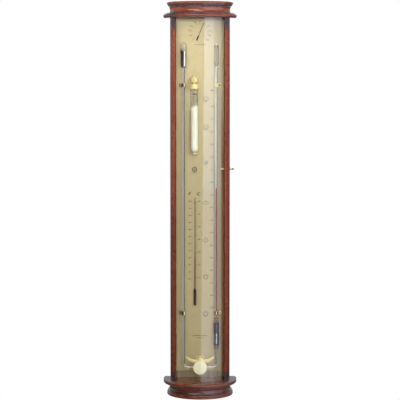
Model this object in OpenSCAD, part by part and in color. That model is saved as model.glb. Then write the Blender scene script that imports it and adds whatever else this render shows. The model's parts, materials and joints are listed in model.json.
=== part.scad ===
// Contra barometer in a bow-fronted hanging case, with a storm glass, a spirit thermometer
// and a hygrometer on one scale plate. Millimetres.
// The origin is the centre of the hanging hole, on the wall plane Y = 0.
// +X is the viewer's right, +Y points into the wall and +Z is up.
// "Drop" is a distance below the top of the case, "rise" one above its floor.

/* [Case] */
// Radius of the bow in plan, and half the width of the case
case_r = 83.5; // [80:0.5:92]
// Depth of the straight sides behind the bow
case_flat = 33; // [28:0.5:42]
// Height of the case between cornice and base
case_h = 1014; // [940:1:1100]
// Width of each stile, seen from the front
stile_w = 16.5; // [15:0.5:20]
// Rounding of the stile's front edge
tip_r = 1.6; // [1:0.1:2]
// Thickness of the back board
back_t = 12; // [11:0.5:18]
// Width of the rebate that takes the back board's edge
back_rebate = 8; // [7:0.5:9]

/* [Mouldings] */
// Overhang of the wide board past the case
wide_over = 19.5; // [14:0.5:26]
// Radius of the wide board's half-round edge
wide_nose = 5.75; // [4:0.25:8]
// Height of the fillet between the wide board and the neck
wide_fillet_h = 1.5; // [1:0.1:3]
// Overhang of that fillet past the case
wide_fillet_over = 12.5; // [5:0.5:13]
// Height of the hollow neck
neck_h = 16.5; // [12:0.5:24]
// Overhang of the neck's two edges past the case
neck_over = 3; // [3:0.25:5]
// Depth of the neck's hollow
neck_hollow = 2.2; // [1:0.1:2.6]
// Overhang of the cap past the case
cap_over = 9.5; // [8:0.5:12]
// Radius of the cap's half-round edge
cap_nose = 3.5; // [3:0.25:6]
// Radius of the ovolo under that edge
cap_ovolo = 5; // [3:0.25:5]
// Setback of the ovolo behind the half-round edge
cap_setback = 2.5; // [1:0.25:4]
// Height of the flat edge below the ovolo
cap_edge_h = 2.5; // [0.5:0.25:3]
// Radius of the dowels that join the case
dowel_r = 4; // [3:0.25:5]
// Length of a dowel in the end of a stile
dowel_in_stile = 22; // [15:1:30]
// Length of a dowel in the cap
dowel_in_cap = 8; // [5:0.5:9]

/* [Bow glass] */
// Thickness of the glass
glass_t = 3; // [2:0.25:4]
// Wood left in front of the glass
glass_lip = 4.5; // [4.5:0.25:6]
// Width of glass held by each stile
glass_bite = 4; // [3:0.25:5]
// Depth of the glass grooves in the wide boards
glass_sink = 3; // [2:0.25:5]

/* [Scale plate] */
// Thickness of the scale plate
plate_t = 2; // [2:0.25:4]
// Rise of the plate's lower edge
plate_rise = 22; // [5:1:24]
// Drop of the plate's upper edge
plate_drop = 2; // [0.5:0.5:5]
// Length of the pillars behind the plate
pillar_l = 22; // [21:0.5:30]
// Radius of the pillars
pillar_r = 5; // [3.5:0.25:7]
// Radius of each pillar's spigot in the back board
spigot_r = 3; // [2:0.25:3.25]
// Length of that spigot
spigot_l = 8; // [4:0.5:9]

/* [Screws] */
// Shank radius of the brass screws
screw_r = 1.5; // [1:0.1:1.8]
// Head radius of the brass screws
screw_head_r = 2.8; // [2.2:0.1:3.2]
// Head height of the brass screws
screw_head_h = 1.6; // [1:0.1:2.5]
// Thread length in a pillar or in wood
screw_bite = 10; // [6:0.5:12]
// Width of the screwdriver slots
screw_slot = 0.7; // [0.4:0.1:1]
// Distance of the back board's end screws from its ends
back_screw_in = 40; // [30:1:120]
// Back board screws along each side
back_screw_n = 4; // [2:1:6]

/* [Barometer tube] */
// Distance of each tube's axis from its stile
tube_inset = 21.5; // [20:0.5:25]
// Outer radius of the two limbs
tube_r = 4.7; // [3.5:0.1:5.2]
// Bore radius of the mercury limb
mercury_bore = 1.2; // [1:0.1:2.6]
// Bore radius of the reading limb
reading_bore = 1.4; // [0.6:0.1:1.8]
// Outer radius of the bend at the foot
bend_tube_r = 3.1; // [2.6:0.1:3.4]
// Bore radius of the bend
bend_bore = 1.2; // [1:0.1:1.9]
// Radius of the bend's corners, at the tube's axis
bend_corner = 11; // [8:0.5:16]
// Rise of the bend's lowest run
bend_rise = 34; // [26:0.5:38]
// Outer radius of the vacuum chamber
vacuum_r = 8.5; // [7:0.25:10]
// Drop of the vacuum chamber's top
vacuum_drop = 68; // [66:1:90]
// Length of the vacuum chamber
vacuum_l = 69; // [50:1:80]
// Length over which the vacuum chamber narrows to its limb
vacuum_shoulder = 3; // [2.5:0.5:10]
// Outer radius of the overflow chamber
overflow_r = 6.5; // [5.5:0.25:8]
// Drop of the overflow chamber's top
overflow_drop = 74; // [66:1:95]
// Length of the overflow chamber
overflow_l = 59; // [40:1:75]
// Outer radius of the cistern chamber
cistern_r = 8; // [6.5:0.25:9.5]
// Rise of the cistern chamber's lower end
cistern_rise = 93; // [85:1:105]
// Length of the cistern chamber
cistern_l = 74; // [50:1:78]
// Wall of the three chambers
chamber_wall = 1.2; // [0.8:0.1:1.8]
// Length over which the other two chambers taper to their tubes
chamber_taper = 8; // [5:0.5:10]
// Gap between the widest chamber and the plate
tube_gap = 1.5; // [1:0.25:3]
// Depth of the mercury's upper level below the vacuum chamber's top
mercury_top = 22; // [14:0.5:40]
// Height of the mercury's lower level above the cistern's lower end
mercury_low = 38; // [14:0.5:45]
// Rise of the red liquid's level
reading_rise = 541; // [240:1:700]
// Outer radius of the breather plug
plug_r = 2.4; // [1.5:0.1:3]
// Height of the breather plug above the tube
plug_h = 2.5; // [1:0.25:5]

/* [Tube clips] */
// Drop of the upper clips
upper_clip_drop = 186; // [165:1:215]
// Rise of the lower clips
lower_clip_rise = 188; // [184:1:194]
// Height of a clip
clip_h = 10; // [6:0.5:11]
// Thickness of a clip's band and foot
clip_t = 1.6; // [1:0.1:2.4]
// Width of the web between a clip's band and its foot
clip_web = 6; // [3:0.5:8]
// Edge left outside a clip's screw head
clip_edge = 1.2; // [0.6:0.1:2]

/* [Storm glass] */
// Place of the storm glass to the right of the middle
storm_x = -16; // [-20:0.5:-12]
// Outer radius of the storm glass
storm_r = 10.75; // [8:0.25:12]
// Wall of the storm glass
storm_wall = 1.2; // [0.8:0.1:2]
// Drop of the storm cap's lower face
storm_drop = 191; // [170:1:200]
// Length of glass below the cap
storm_l = 184; // [150:1:190]
// Depth of the liquid's level below the cap
storm_level = 13; // [5:0.5:30]
// Depth of the crystals' top below the cap
storm_crystal = 57; // [35:1:120]
// Thickness of the cap's flange
cap_flange_h = 7; // [5:0.5:9]
// Width of the flange outside the glass
cap_flange_w = 1.6; // [1:0.1:2.4]
// Depth of glass held in the flange
cap_socket = 4; // [2:0.5:4.5]
// Radius of the neck above the flange
cap_neck_r = 3.2; // [2.4:0.1:4.5]
// Height of that neck
cap_neck_h = 7; // [5:0.5:9]
// Radius of the cap's fluted crown
cap_crown_r = 9.2; // [7:0.1:10]
// Height of the fluted crown
cap_crown_h = 10; // [6:0.5:14]
// Flutes round the crown
cap_flutes = 10; // [8:1:12]
// Radius of the flutes
cap_flute_r = 1.9; // [1:0.1:2.1]
// Radius of the finial's ball
cap_ball_r = 2.6; // [2:0.1:3.2]
// Height of the finial above the crown
cap_finial_h = 8.5; // [7:0.5:12]
// Gap between the glass and the screw heads behind it
storm_gap = 0.6; // [0.4:0.1:2]
// Height of the bracket's ring under the flange
storm_ring_h = 5; // [3:0.5:8]
// Width of the bracket's foot
storm_foot_w = 12; // [9:0.5:16]
// Height of the bracket's foot
storm_foot_h = 24; // [20:0.5:30]
// Radius of the rest under the glass
storm_rest_r = 7.5; // [4:0.25:8]
// Height of the rest's arm
storm_rest_h = 3; // [2:0.25:6]

/* [Thermometer] */
// Place of the thermometer to the right of the middle
thermo_x = -14; // [-20:0.5:-10]
// Outer radius of the stem
thermo_r = 3.25; // [2.25:0.25:3.5]
// Bore radius of the stem
thermo_bore = 0.9; // [0.5:0.1:1.2]
// Outer radius of the bulb
bulb_r = 4.25; // [3.75:0.25:5]
// Length of the bulb
bulb_l = 49; // [30:1:60]
// Wall of the bulb
bulb_wall = 0.9; // [0.6:0.1:1.2]
// Rise of the bulb's lower end
thermo_rise = 208; // [195:1:225]
// Length of the whole thermometer
thermo_l = 306; // [280:1:310]
// Height of the spirit above the bulb's lower end
spirit_h = 139; // [80:1:250]
// Gap between the bulb and the plate
thermo_gap = 0.5; // [0.3:0.1:1.5]
// Wire radius of the staples
staple_r = 0.7; // [0.4:0.1:1]
// Distance of each staple from its end of the stem
staple_in = 16; // [8:1:40]

/* [Hygrometer] */
// Drop of the dial's centre
dial_drop = 39; // [38:0.5:42]
// Length of the pointer's tip
pointer_tip = 27; // [20:0.5:30]
// Length of the pointer's tail
pointer_tail = 25; // [16:0.5:26]
// Width of the pointer's counterweight
pointer_tail_w = 4; // [1.6:0.1:4.5]
// Thickness of the pointer
pointer_t = 0.8; // [0.5:0.1:1.5]
// Humidity shown, in per cent
humidity = 58; // [10:1:90]
// Angle of the dial from 0 to 100 per cent
dial_span = 274; // [240:1:300]
// Radius of the spindle
spindle_r = 1; // [0.8:0.1:1.4]
// Radius of the bush in the plate
bush_r = 3.2; // [2.5:0.1:4]
// Radius of the bush's flange
bush_flange_r = 4.6; // [4.2:0.1:6]
// Thickness of that flange
bush_flange_t = 1.2; // [0.8:0.1:2]
// Outer radius of the drum behind the plate
drum_r = 30; // [24:0.5:31]
// Depth of the drum
drum_l = 18; // [14:0.5:19]
// Wall of the drum
drum_wall = 1; // [0.8:0.1:1.5]
// Turns of the moisture coil
coil_turns = 4; // [2:1:5]
// Thickness of the coil's strip
coil_t = 0.5; // [0.3:0.1:0.8]
// Width of the coil's strip
coil_w = 8; // [5:0.5:10]

/* [Set pointer] */
// Rise of the set pointer
marker_rise = 594; // [420:1:700]
// Rise of the slot's lower end
slot_rise = 200; // [196:1:220]
// Drop of the slot's upper end
slot_drop = 246; // [240:1:300]
// Radius of the rod through the slot
marker_rod_r = 1.2; // [1:0.1:2]
// Reach of the pointer from the stile
marker_reach = 12.5; // [8:0.25:12.5]
// Radius of the pointer's base
marker_base_r = 2.9; // [2.2:0.1:3.2]
// Radius of the felt washers
felt_r = 3.7; // [3.5:0.1:5]
// Thickness of the felt washers
felt_t = 1; // [0.6:0.1:1.6]
// Radius of the ball on the knob
marker_ball_r = 2.8; // [1.8:0.1:3.2]
// Length of the knob outside the felt
marker_knob_l = 11; // [8:0.5:14]

/* [Bow and medallion] */
// Rise of the gilt bow's middle
bow_rise = 56; // [50:0.5:60]
// Half the span of the gilt bow
bow_span = 40; // [28:0.5:41]
// Thickness of the gilt bow
bow_t = 1.5; // [1:0.1:2.5]
// Widest half-width of a wing
bow_wing = 5.5; // [4.4:0.1:7]
// Height of the wing tips above the middle
bow_lift = 8; // [2:0.5:9]
// Dip of each wing between the knot and its tip
bow_dip = 6; // [0:0.5:7]
// Radius of the bow's knot
bow_knot_r = 6; // [4:0.25:8]
// Distance of the bow's screws from the middle
bow_screw_x = 21; // [16:0.5:24]
// Radius of the posts that carry the bow
bow_post_r = 3; // [2.4:0.1:4]
// Gap between the bend and the bow
bow_gap = 1; // [0.6:0.1:2]
// Radius of the medallion
medal_r = 19.2; // [14:0.2:22]
// Thickness of the medallion
medal_t = 3; // [2:0.25:5]
// Radius of the medallion's hanging lug
medal_lug_r = 3.2; // [2.4:0.1:4]
// Radius of the pin that the medallion hangs on
medal_pin_r = 1; // [0.8:0.1:1.4]
// Radius of the pin's head
medal_head_r = 2.4; // [1.8:0.1:3]

/* [Hanger] */
// Drop of the hanging hole
hang_drop = 60; // [45:1:120]
// Radius of the hanging hole
hang_r = 5; // [4:0.25:6]
// Half-width of the slot above it
hang_slot_r = 2.5; // [1.75:0.25:3]
// Height of that slot above the hole's centre
hang_slot_l = 14; // [10:0.5:20]
// Thickness of the hanger
hanger_t = 2; // [1.5:0.25:3]
// Width of the hanger
hanger_w = 32; // [28:1:40]
// Height of the hanger
hanger_h = 64; // [60:1:80]
// Distance of the hanger's screws from its ends
hanger_screw_in = 8; // [6:0.5:10]
// Depth of the pocket for the wall screw's head
hang_pocket = 6; // [4:0.5:7]

/* [Fits] */
// Clearance of pieces that are fitted and then stay put
slip = 0.1; // [0.05:0.01:0.2]
// Radial clearance of pieces that turn or slide
run_fit = 0.06; // [0.03:0.01:0.1]
// Gap between the plate and the stiles
plate_gap = 0.3; // [0.2:0.05:0.6]
// Film between a liquid and its glass
film = 0.05; // [0.02:0.01:0.1]

/* [Hidden] */
$fn = 64;
cut = 1;

// Levels of the case
case_top = hang_drop;
case_bot = case_top - case_h;
wide_h = 2 * wide_nose + wide_fillet_h;
cap_h = 2 * cap_nose + cap_ovolo + cap_edge_h;
wide_r = case_r + wide_over;
cap_r = case_r + cap_over;

// Plan of the case
stile_in = case_r - stile_w;
dowel_x = stile_in + stile_w / 2;
glass_ro = case_r - glass_lip;
glass_ri = glass_ro - glass_t;
glass_edge = stile_in + glass_bite;
back_edge = stile_in + back_rebate - slip;
back_screw_x = stile_in + back_rebate / 2;

// Depths in front of the wall
back_face = -back_t;
plate_back = back_face - pillar_l;
plate_face = plate_back - plate_t;
tube_y = plate_face - tube_gap - max(vacuum_r, overflow_r, cistern_r);
storm_foot_t = clip_t;
storm_y = plate_face - storm_foot_t - screw_head_h - storm_gap - storm_r;
thermo_y = plate_face - thermo_gap - bulb_r;
bow_back = tube_y - bend_tube_r - bow_gap;

// Places on the plate
tube_x = stile_in - tube_inset;
clip_screw_x = tube_x + tube_r + slip + clip_t + screw_head_r + slip;
upper_clip_z = case_top - upper_clip_drop;
lower_clip_z = case_bot + lower_clip_rise;
clip_sites = [for (side = [-1, 1], z = [upper_clip_z, lower_clip_z]) [side * clip_screw_x, z]];
bow_z = case_bot + bow_rise;
bow_sites = [for (side = [-1, 1]) [0, bow_z] + wing_mid(side * bow_screw_x / bow_span)];
pillar_sites = concat(clip_sites, bow_sites);
storm_z = case_top - storm_drop;
storm_end = storm_z - storm_l;
rest_z = storm_end - slip;
foot_edge = screw_head_r + clip_edge;
storm_foot_z = storm_z - storm_foot_h;
storm_foot_sites = [for (z = [storm_z - storm_ring_h - foot_edge, storm_foot_z + foot_edge]) [storm_x, z]];
rest_screw_z = rest_z + foot_edge;
storm_sites = concat(storm_foot_sites, [[storm_x, rest_screw_z]]);
thermo_z = case_bot + thermo_rise;
staple_ring = thermo_r + slip + staple_r;
staple_sites = [thermo_z + bulb_l + staple_in, thermo_z + thermo_l - staple_in];
dial_z = case_top - dial_drop;
ear_r = drum_r + screw_head_r + 2 * slip;
ear_angles = [90, 210, 330];

// Levels of the barometer tube
bend_z = case_bot + bend_rise;
limb_z = bend_z + bend_corner;
vacuum_top = case_top - vacuum_drop;
vacuum_bot = vacuum_top - vacuum_l;
overflow_top = case_top - overflow_drop;
overflow_bot = overflow_top - overflow_l;
cistern_bot = case_bot + cistern_rise;
cistern_top = cistern_bot + cistern_l;
mercury_top_z = vacuum_top - mercury_top;
mercury_low_z = cistern_bot + mercury_low;
reading_z = case_bot + reading_rise;

// Set pointer
marker_z = case_bot + marker_rise;
slot_low = case_bot + slot_rise;
slot_high = case_top - slot_drop;
felt_offset = max(0, -tube_y - case_flat - felt_r);
marker_out_x = sqrt(pow(case_r, 2) - pow(felt_offset, 2));
marker_base_x = stile_in - run_fit - felt_t;
marker_knob_x = marker_out_x + run_fit + felt_t;
marker_rod_x0 = marker_base_x - marker_reach / 2;
marker_rod_x1 = marker_knob_x + marker_knob_l / 2;
socket_wall = 0.5;

// Bow and medallion
bow_face = bow_back - bow_t;
medal_back = bow_face - run_fit;
medal_z = bow_z - medal_r - medal_lug_r;
wing_end = 1;

// Hanger
hanger_z = hang_slot_l / 2;
pocket_r = hang_r + 1;

// Hygrometer
pointer_angle = (humidity - 50) / 100 * dial_span;
pointer_back = plate_face - bush_flange_t - slip;
drum_back = plate_back + drum_l;
collet_r = 3 * spindle_r;
collet_gap = 0.3;
coil_steps = 24;
coil_r0 = collet_r + collet_gap;
coil_r1 = drum_r - drum_wall - slip - coil_t;
coil_y = plate_back + (drum_l - coil_w) / 2;

// Colours
mahogany = "saddlebrown";
brass = "goldenrod";
gilt = "khaki";
clear = "lightcyan";

// Turning helpers: each lays a child's Z axis along another axis of the case

module toward_wall(p) {
    translate(p) rotate([-90, 0, 0]) children();
}

module toward_viewer(p) {
    translate(p) rotate([90, 0, 0]) children();
}

module to_the_right(p) {
    translate(p) rotate([0, 90, 0]) children();
}

// A turned solid from a list of [radius, height] points
module turned(points) {
    last = len(points) - 1;
    rotate_extrude() polygon(concat([[0, points[0][1]]], points, [[0, points[last][1]]]));
}

// A round hole or rod between two heights
module rod(r, z0, z1) {
    translate([0, 0, z0]) cylinder(r = r, h = z1 - z0);
}

// Plan shapes

module d_plan(r) {
    translate([-r, -case_flat]) square([2 * r, case_flat]);
    intersection() {
        translate([0, -case_flat]) circle(r);
        translate([-r, -case_flat - r]) square([2 * r, r]);
    }
}

module glass_plan(extra) {
    intersection() {
        difference() {
            translate([0, -case_flat]) circle(glass_ro + extra);
            translate([0, -case_flat]) circle(glass_ri - extra);
        }
        translate([-glass_edge - extra, -case_flat - case_r]) square([2 * (glass_edge + extra), case_r]);
    }
}

// The stile's front edge is a small arc that touches both its inner face and the bow
module stile_plan() {
    tip_x = stile_in + tip_r;
    tip_run = sqrt(pow(case_r - tip_r, 2) - pow(tip_x, 2));
    tip = [tip_x, -case_flat - tip_run];
    tip_out = [tip_x * case_r / (case_r - tip_r), -case_flat - tip_run * case_r / (case_r - tip_r)];
    front = -case_flat - case_r;
    difference() {
        union() {
            difference() {
                intersection() {
                    d_plan(case_r);
                    translate([stile_in, front]) square([stile_w, -front]);
                }
                polygon([[stile_in - cut, tip[1]], tip, tip_out, [tip_out[0], front], [stile_in - cut, front]]);
            }
            translate(tip) circle(tip_r);
        }
        translate([stile_in - cut, -back_t]) square([back_rebate + cut, back_t + cut]);
        glass_plan(slip);
    }
}

// Mouldings: a half profile carried round the bow and along the straight sides

module d_moulding() {
    translate([0, -case_flat, 0]) rotate([0, 0, 180]) rotate_extrude(angle = 180) children();
    rotate([90, 0, 0]) linear_extrude(case_flat) {
        children();
        mirror([1, 0]) children();
    }
}

module wide_profile() {
    square([wide_r - wide_nose, 2 * wide_nose]);
    translate([wide_r - wide_nose, wide_nose]) circle(wide_nose);
    square([case_r + wide_fillet_over, wide_h]);
}

module neck_profile() {
    hollow_r = (pow(neck_h, 2) / 4 + pow(neck_hollow, 2)) / (2 * neck_hollow);
    difference() {
        square([case_r + neck_over, neck_h]);
        translate([case_r + neck_over - neck_hollow + hollow_r, neck_h / 2]) circle(hollow_r);
    }
}

module cap_profile() {
    nose_z = cap_edge_h + cap_ovolo;
    ovolo_x = cap_r - cap_setback - cap_ovolo;
    translate([0, nose_z]) square([cap_r - cap_nose, 2 * cap_nose]);
    translate([cap_r - cap_nose, nose_z + cap_nose]) circle(cap_nose);
    square([ovolo_x, nose_z]);
    intersection() {
        translate([ovolo_x, nose_z]) circle(cap_ovolo);
        translate([0, cap_edge_h]) square([cap_r, cap_ovolo]);
    }
}

// Cornice and base are the same stack, one upright and one turned over

module cornice_level(z) {
    translate([0, 0, case_top + z]) children();
}

module base_level(z) {
    translate([0, 0, case_bot - z]) mirror([0, 0, 1]) children();
}

module dowel_pair(extra) {
    for (side = [-1, 1])
        translate([side * dowel_x, -case_flat, 0])
            rod(dowel_r + extra, -dowel_in_stile - extra, wide_h + neck_h + dowel_in_cap + extra);
}

module glass_groove() {
    translate([0, 0, -cut]) linear_extrude(glass_sink + cut) glass_plan(slip);
}

module wide_board() {
    difference() {
        d_moulding() wide_profile();
        glass_groove();
        dowel_pair(slip);
    }
}

module neck_board() {
    difference() {
        d_moulding() neck_profile();
        translate([0, 0, -wide_h]) dowel_pair(slip);
    }
}

module cap_board() {
    difference() {
        d_moulding() cap_profile();
        translate([0, 0, -wide_h - neck_h]) dowel_pair(slip);
    }
}

module cornice_board() { color(mahogany) cornice_level(0) wide_board(); }
module cornice_neck() { color(mahogany) cornice_level(wide_h) neck_board(); }
module cornice_cap() { color(mahogany) cornice_level(wide_h + neck_h) cap_board(); }
module cornice_dowels() { color("burlywood") cornice_level(0) dowel_pair(0); }
module base_board() { color(mahogany) base_level(0) wide_board(); }
module base_neck() { color(mahogany) base_level(wide_h) neck_board(); }
module base_foot() { color(mahogany) base_level(wide_h + neck_h) cap_board(); }
module base_dowels() { color("burlywood") base_level(0) dowel_pair(0); }

// Screws

module countersunk(l, extra) {
    toward_viewer([0, 0, 0]) {
        cylinder(r1 = screw_head_r + extra, r2 = screw_r + extra, h = screw_head_h);
        cylinder(r = screw_r + extra, h = l + extra);
    }
}

module countersunk_screw(l) {
    difference() {
        countersunk(l, 0);
        translate([-screw_head_r, -screw_head_h / 2, -screw_slot / 2])
            cube([2 * screw_head_r, screw_head_h, screw_slot]);
    }
}

// A round-headed screw whose head bears on the depth y and whose shank runs back to the wall
module front_screw(site, y, l) {
    crown_r = screw_head_r - screw_head_h / 3;
    toward_wall([site[0], y, site[1]]) difference() {
        union() {
            cylinder(r = screw_r, h = l);
            translate([0, 0, -screw_head_h]) cylinder(r1 = crown_r, r2 = screw_head_r, h = screw_head_h);
        }
        translate([-screw_head_r, -screw_slot / 2, -screw_head_h - cut])
            cube([2 * screw_head_r, screw_slot, screw_head_h / 2 + cut]);
    }
}

// A hole for that screw from depth y, running back by l
module front_hole(site, y, l) {
    toward_wall([site[0], y, site[1]]) rod(screw_r + slip, -cut, l);
}

module back_screw_places() {
    step = (case_h - 2 * back_screw_in) / (back_screw_n - 1);
    for (side = [-1, 1], k = [0 : back_screw_n - 1])
        translate([side * back_screw_x, 0, case_bot + back_screw_in + k * step]) children();
}

module hanger_screw_places() {
    for (k = [-1, 1])
        translate([0, 0, hanger_z + k * (hanger_h / 2 - hanger_screw_in)]) children();
}

module back_screws() {
    color(brass) back_screw_places() countersunk_screw(back_t + screw_bite);
}

module hanger_screws() {
    color(brass) hanger_screw_places() countersunk_screw(screw_bite);
}

// Case

// A keyhole from depth 0 to l: a round hole with a slot rising from it
module keyhole(r, slot_r, l) {
    toward_viewer([0, cut, 0]) {
        cylinder(r = r, h = l + cut);
        translate([0, hang_slot_l, 0]) cylinder(r = slot_r, h = l + cut);
        translate([-slot_r, 0, 0]) cube([2 * slot_r, hang_slot_l, l + cut]);
    }
}

module hanger_blank(extra, proud) {
    translate([-hanger_w / 2 - extra, -hanger_t, hanger_z - hanger_h / 2 - extra])
        cube([hanger_w + 2 * extra, hanger_t + proud, hanger_h + 2 * extra]);
}

module hanger_plate() {
    color(brass) difference() {
        hanger_blank(0, 0);
        keyhole(hang_r, hang_slot_r, hanger_t + cut);
        hanger_screw_places() countersunk(screw_bite, slip);
    }
}

module back_board() {
    color(mahogany) difference() {
        translate([-back_edge, -back_t, case_bot]) cube([2 * back_edge, back_t, case_h]);
        hanger_blank(slip, cut);
        keyhole(pocket_r, pocket_r, hanger_t + hang_pocket);
        hanger_screw_places() countersunk(screw_bite, slip);
        back_screw_places() countersunk(back_t + cut, slip);
        for (site = pillar_sites)
            toward_wall([site[0], back_face, site[1]]) rod(spigot_r + slip, -cut, spigot_l + slip);
    }
}

module stile() {
    translate([0, 0, case_bot]) linear_extrude(case_h) stile_plan();
}

module stile_cuts() {
    cornice_level(0) dowel_pair(slip);
    base_level(0) dowel_pair(slip);
    back_screw_places() countersunk(back_t + screw_bite, slip);
}

module left_stile() {
    color(mahogany) difference() {
        mirror([1, 0, 0]) stile();
        stile_cuts();
    }
}

// The right stile has the set pointer's slot
module right_stile() {
    slot_r = marker_rod_r + run_fit;
    color(mahogany) difference() {
        stile();
        stile_cuts();
        to_the_right([stile_in - cut, tube_y, slot_low]) cylinder(r = slot_r, h = stile_w + 2 * cut);
        to_the_right([stile_in - cut, tube_y, slot_high]) cylinder(r = slot_r, h = stile_w + 2 * cut);
        translate([stile_in - cut, tube_y - slot_r, slot_low])
            cube([stile_w + 2 * cut, 2 * slot_r, slot_high - slot_low]);
    }
}

module bow_glass() {
    color(clear, 0.3) translate([0, 0, case_bot - glass_sink + slip])
        linear_extrude(case_h + 2 * (glass_sink - slip)) glass_plan(0);
}

// Scale plate and its pillars

module scale_plate() {
    half = stile_in - plate_gap;
    z0 = case_bot + plate_rise;
    color(gilt) difference() {
        translate([-half, plate_face, z0]) cube([2 * half, plate_t, case_top - plate_drop - z0]);
        for (site = concat(pillar_sites, storm_sites))
            front_hole(site, plate_face, plate_t + cut);
        toward_wall([0, plate_face, dial_z]) rod(bush_r + slip, -cut, plate_t + cut);
        for (a = ear_angles)
            toward_viewer([ear_r * cos(a), plate_back + cut, dial_z + ear_r * sin(a)])
                cylinder(r = screw_r + slip, h = plate_t / 2 + cut);
        for (z = staple_sites, side = [-1, 1])
            toward_wall([thermo_x + side * staple_ring, plate_face, z]) rod(staple_r + slip, -cut, plate_t + cut);
    }
}

module plate_pillars() {
    color(brass) for (site = pillar_sites) difference() {
        toward_wall([site[0], plate_back, site[1]]) {
            cylinder(r = pillar_r, h = pillar_l);
            cylinder(r = spigot_r, h = pillar_l + spigot_l);
        }
        front_hole(site, plate_back, screw_bite + slip);
    }
}

// Barometer tube: radii r_limb, r_bend and r_chamber belong to the wall or to the bore

module bend(r) {
    run = tube_x - bend_corner;
    for (m = [0, 1]) mirror([m, 0, 0])
        translate([-run, tube_y, limb_z]) rotate([0, 180, 0]) rotate([90, 0, 0])
            rotate_extrude(angle = 90) translate([bend_corner, 0]) circle(r);
    to_the_right([-run, tube_y, bend_z]) cylinder(r = r, h = 2 * run);
}

module left_limb(points) {
    translate([-tube_x, tube_y, 0]) turned(points);
}

module right_limb(points) {
    translate([tube_x, tube_y, 0]) turned(points);
}

// Outlines of the bores; gap draws a liquid clear of its glass
function left_bore(gap) = [
    [bend_bore - gap, limb_z],
    [mercury_bore - gap, limb_z + chamber_taper],
    [mercury_bore - gap, vacuum_bot],
    [vacuum_r - chamber_wall - gap, vacuum_bot + vacuum_shoulder]
];

function cistern_bore(gap) = [
    [bend_bore - gap, limb_z],
    [bend_bore - gap, cistern_bot],
    [cistern_r - chamber_wall - gap, cistern_bot + chamber_taper]
];

function reading_limb_bore(gap) = [
    [cistern_r - chamber_wall - gap, cistern_top - chamber_taper],
    [reading_bore - gap, cistern_top]
];

function overflow_bore() = [
    [reading_bore, overflow_bot],
    [overflow_r - chamber_wall, overflow_bot + chamber_taper],
    [overflow_r - chamber_wall, overflow_top - chamber_taper],
    [plug_r + slip, overflow_top - chamber_wall],
    [plug_r + slip, overflow_top]
];

module barometer_tube() {
    color(clear, 0.4) difference() {
        union() {
            bend(bend_tube_r);
            left_limb([
                [bend_tube_r, limb_z],
                [tube_r, limb_z + chamber_taper],
                [tube_r, vacuum_bot - vacuum_shoulder],
                [vacuum_r, vacuum_bot],
                [vacuum_r, vacuum_top - vacuum_r]
            ]);
            translate([-tube_x, tube_y, vacuum_top - vacuum_r]) sphere(vacuum_r);
            right_limb([
                [bend_tube_r, limb_z],
                [bend_tube_r, cistern_bot - chamber_taper],
                [cistern_r, cistern_bot],
                [cistern_r, cistern_top],
                [tube_r, cistern_top + chamber_taper],
                [tube_r, overflow_bot - chamber_taper],
                [overflow_r, overflow_bot],
                [overflow_r, overflow_top - chamber_taper / 2],
                [plug_r + slip + chamber_wall, overflow_top]
            ]);
        }
        bend(bend_bore);
        left_limb(concat(left_bore(0), [[vacuum_r - chamber_wall, vacuum_top - vacuum_r]]));
        translate([-tube_x, tube_y, vacuum_top - vacuum_r]) sphere(vacuum_r - chamber_wall);
        right_limb(concat(cistern_bore(0), reading_limb_bore(0), overflow_bore()));
    }
}

module mercury() {
    color("silver") {
        bend(bend_bore - film);
        left_limb(concat(left_bore(film), [[vacuum_r - chamber_wall - film, mercury_top_z]]));
        right_limb(concat(cistern_bore(film), [[cistern_r - chamber_wall - film, mercury_low_z]]));
    }
}

module red_liquid() {
    color("firebrick") right_limb(concat(
        [[cistern_r - chamber_wall - film, mercury_low_z]],
        reading_limb_bore(film),
        [[reading_bore - film, reading_z]]
    ));
}

module breather_plug() {
    color("ivory") translate([tube_x, tube_y, 0]) rod(plug_r, overflow_top - chamber_wall, overflow_top + plug_h);
}

// Tube clips: a band round the tube, a web back to the plate and a foot with a screw

module tube_clip(side, z) {
    band_r = tube_r + slip + clip_t;
    foot_end = clip_screw_x + screw_head_r + clip_edge;
    color(brass) mirror([side < 0 ? 1 : 0, 0, 0]) difference() {
        union() {
            translate([tube_x, tube_y, z - clip_h / 2]) cylinder(r = band_r, h = clip_h);
            translate([tube_x - clip_web / 2, tube_y, z - clip_h / 2])
                cube([clip_web, plate_face - tube_y, clip_h]);
            translate([tube_x - clip_web / 2, plate_face - clip_t, z - clip_h / 2])
                cube([foot_end - tube_x + clip_web / 2, clip_t, clip_h]);
        }
        translate([tube_x, tube_y, z - clip_h / 2 - cut]) cylinder(r = tube_r + slip, h = clip_h + 2 * cut);
        front_hole([clip_screw_x, z], plate_face - clip_t, clip_t + cut);
    }
}

module upper_left_clip() { tube_clip(-1, upper_clip_z); }
module lower_left_clip() { tube_clip(-1, lower_clip_z); }
module upper_right_clip() { tube_clip(1, upper_clip_z); }
module lower_right_clip() { tube_clip(1, lower_clip_z); }

module clip_screws() {
    color(brass) for (site = clip_sites)
        front_screw(site, plate_face - clip_t, clip_t + plate_t + screw_bite);
}

// Storm glass

module at_storm() {
    translate([storm_x, storm_y, 0]) children();
}

// A round-ended solid from the glass's foot up to a level
module storm_space(r, z1) {
    at_storm() {
        translate([0, 0, storm_end + storm_r]) sphere(r);
        rod(r, storm_end + storm_r, z1);
    }
}

module storm_glass() {
    color(clear, 0.4) difference() {
        storm_space(storm_r, storm_z + cap_socket - slip);
        storm_space(storm_r - storm_wall, storm_z + cap_socket + cut);
    }
}

module storm_liquid() {
    color("aliceblue", 0.5) at_storm()
        rod(storm_r - storm_wall - film, storm_z - storm_crystal, storm_z - storm_level);
}

module storm_crystals() {
    color("white") storm_space(storm_r - storm_wall - film, storm_z - storm_crystal);
}

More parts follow.
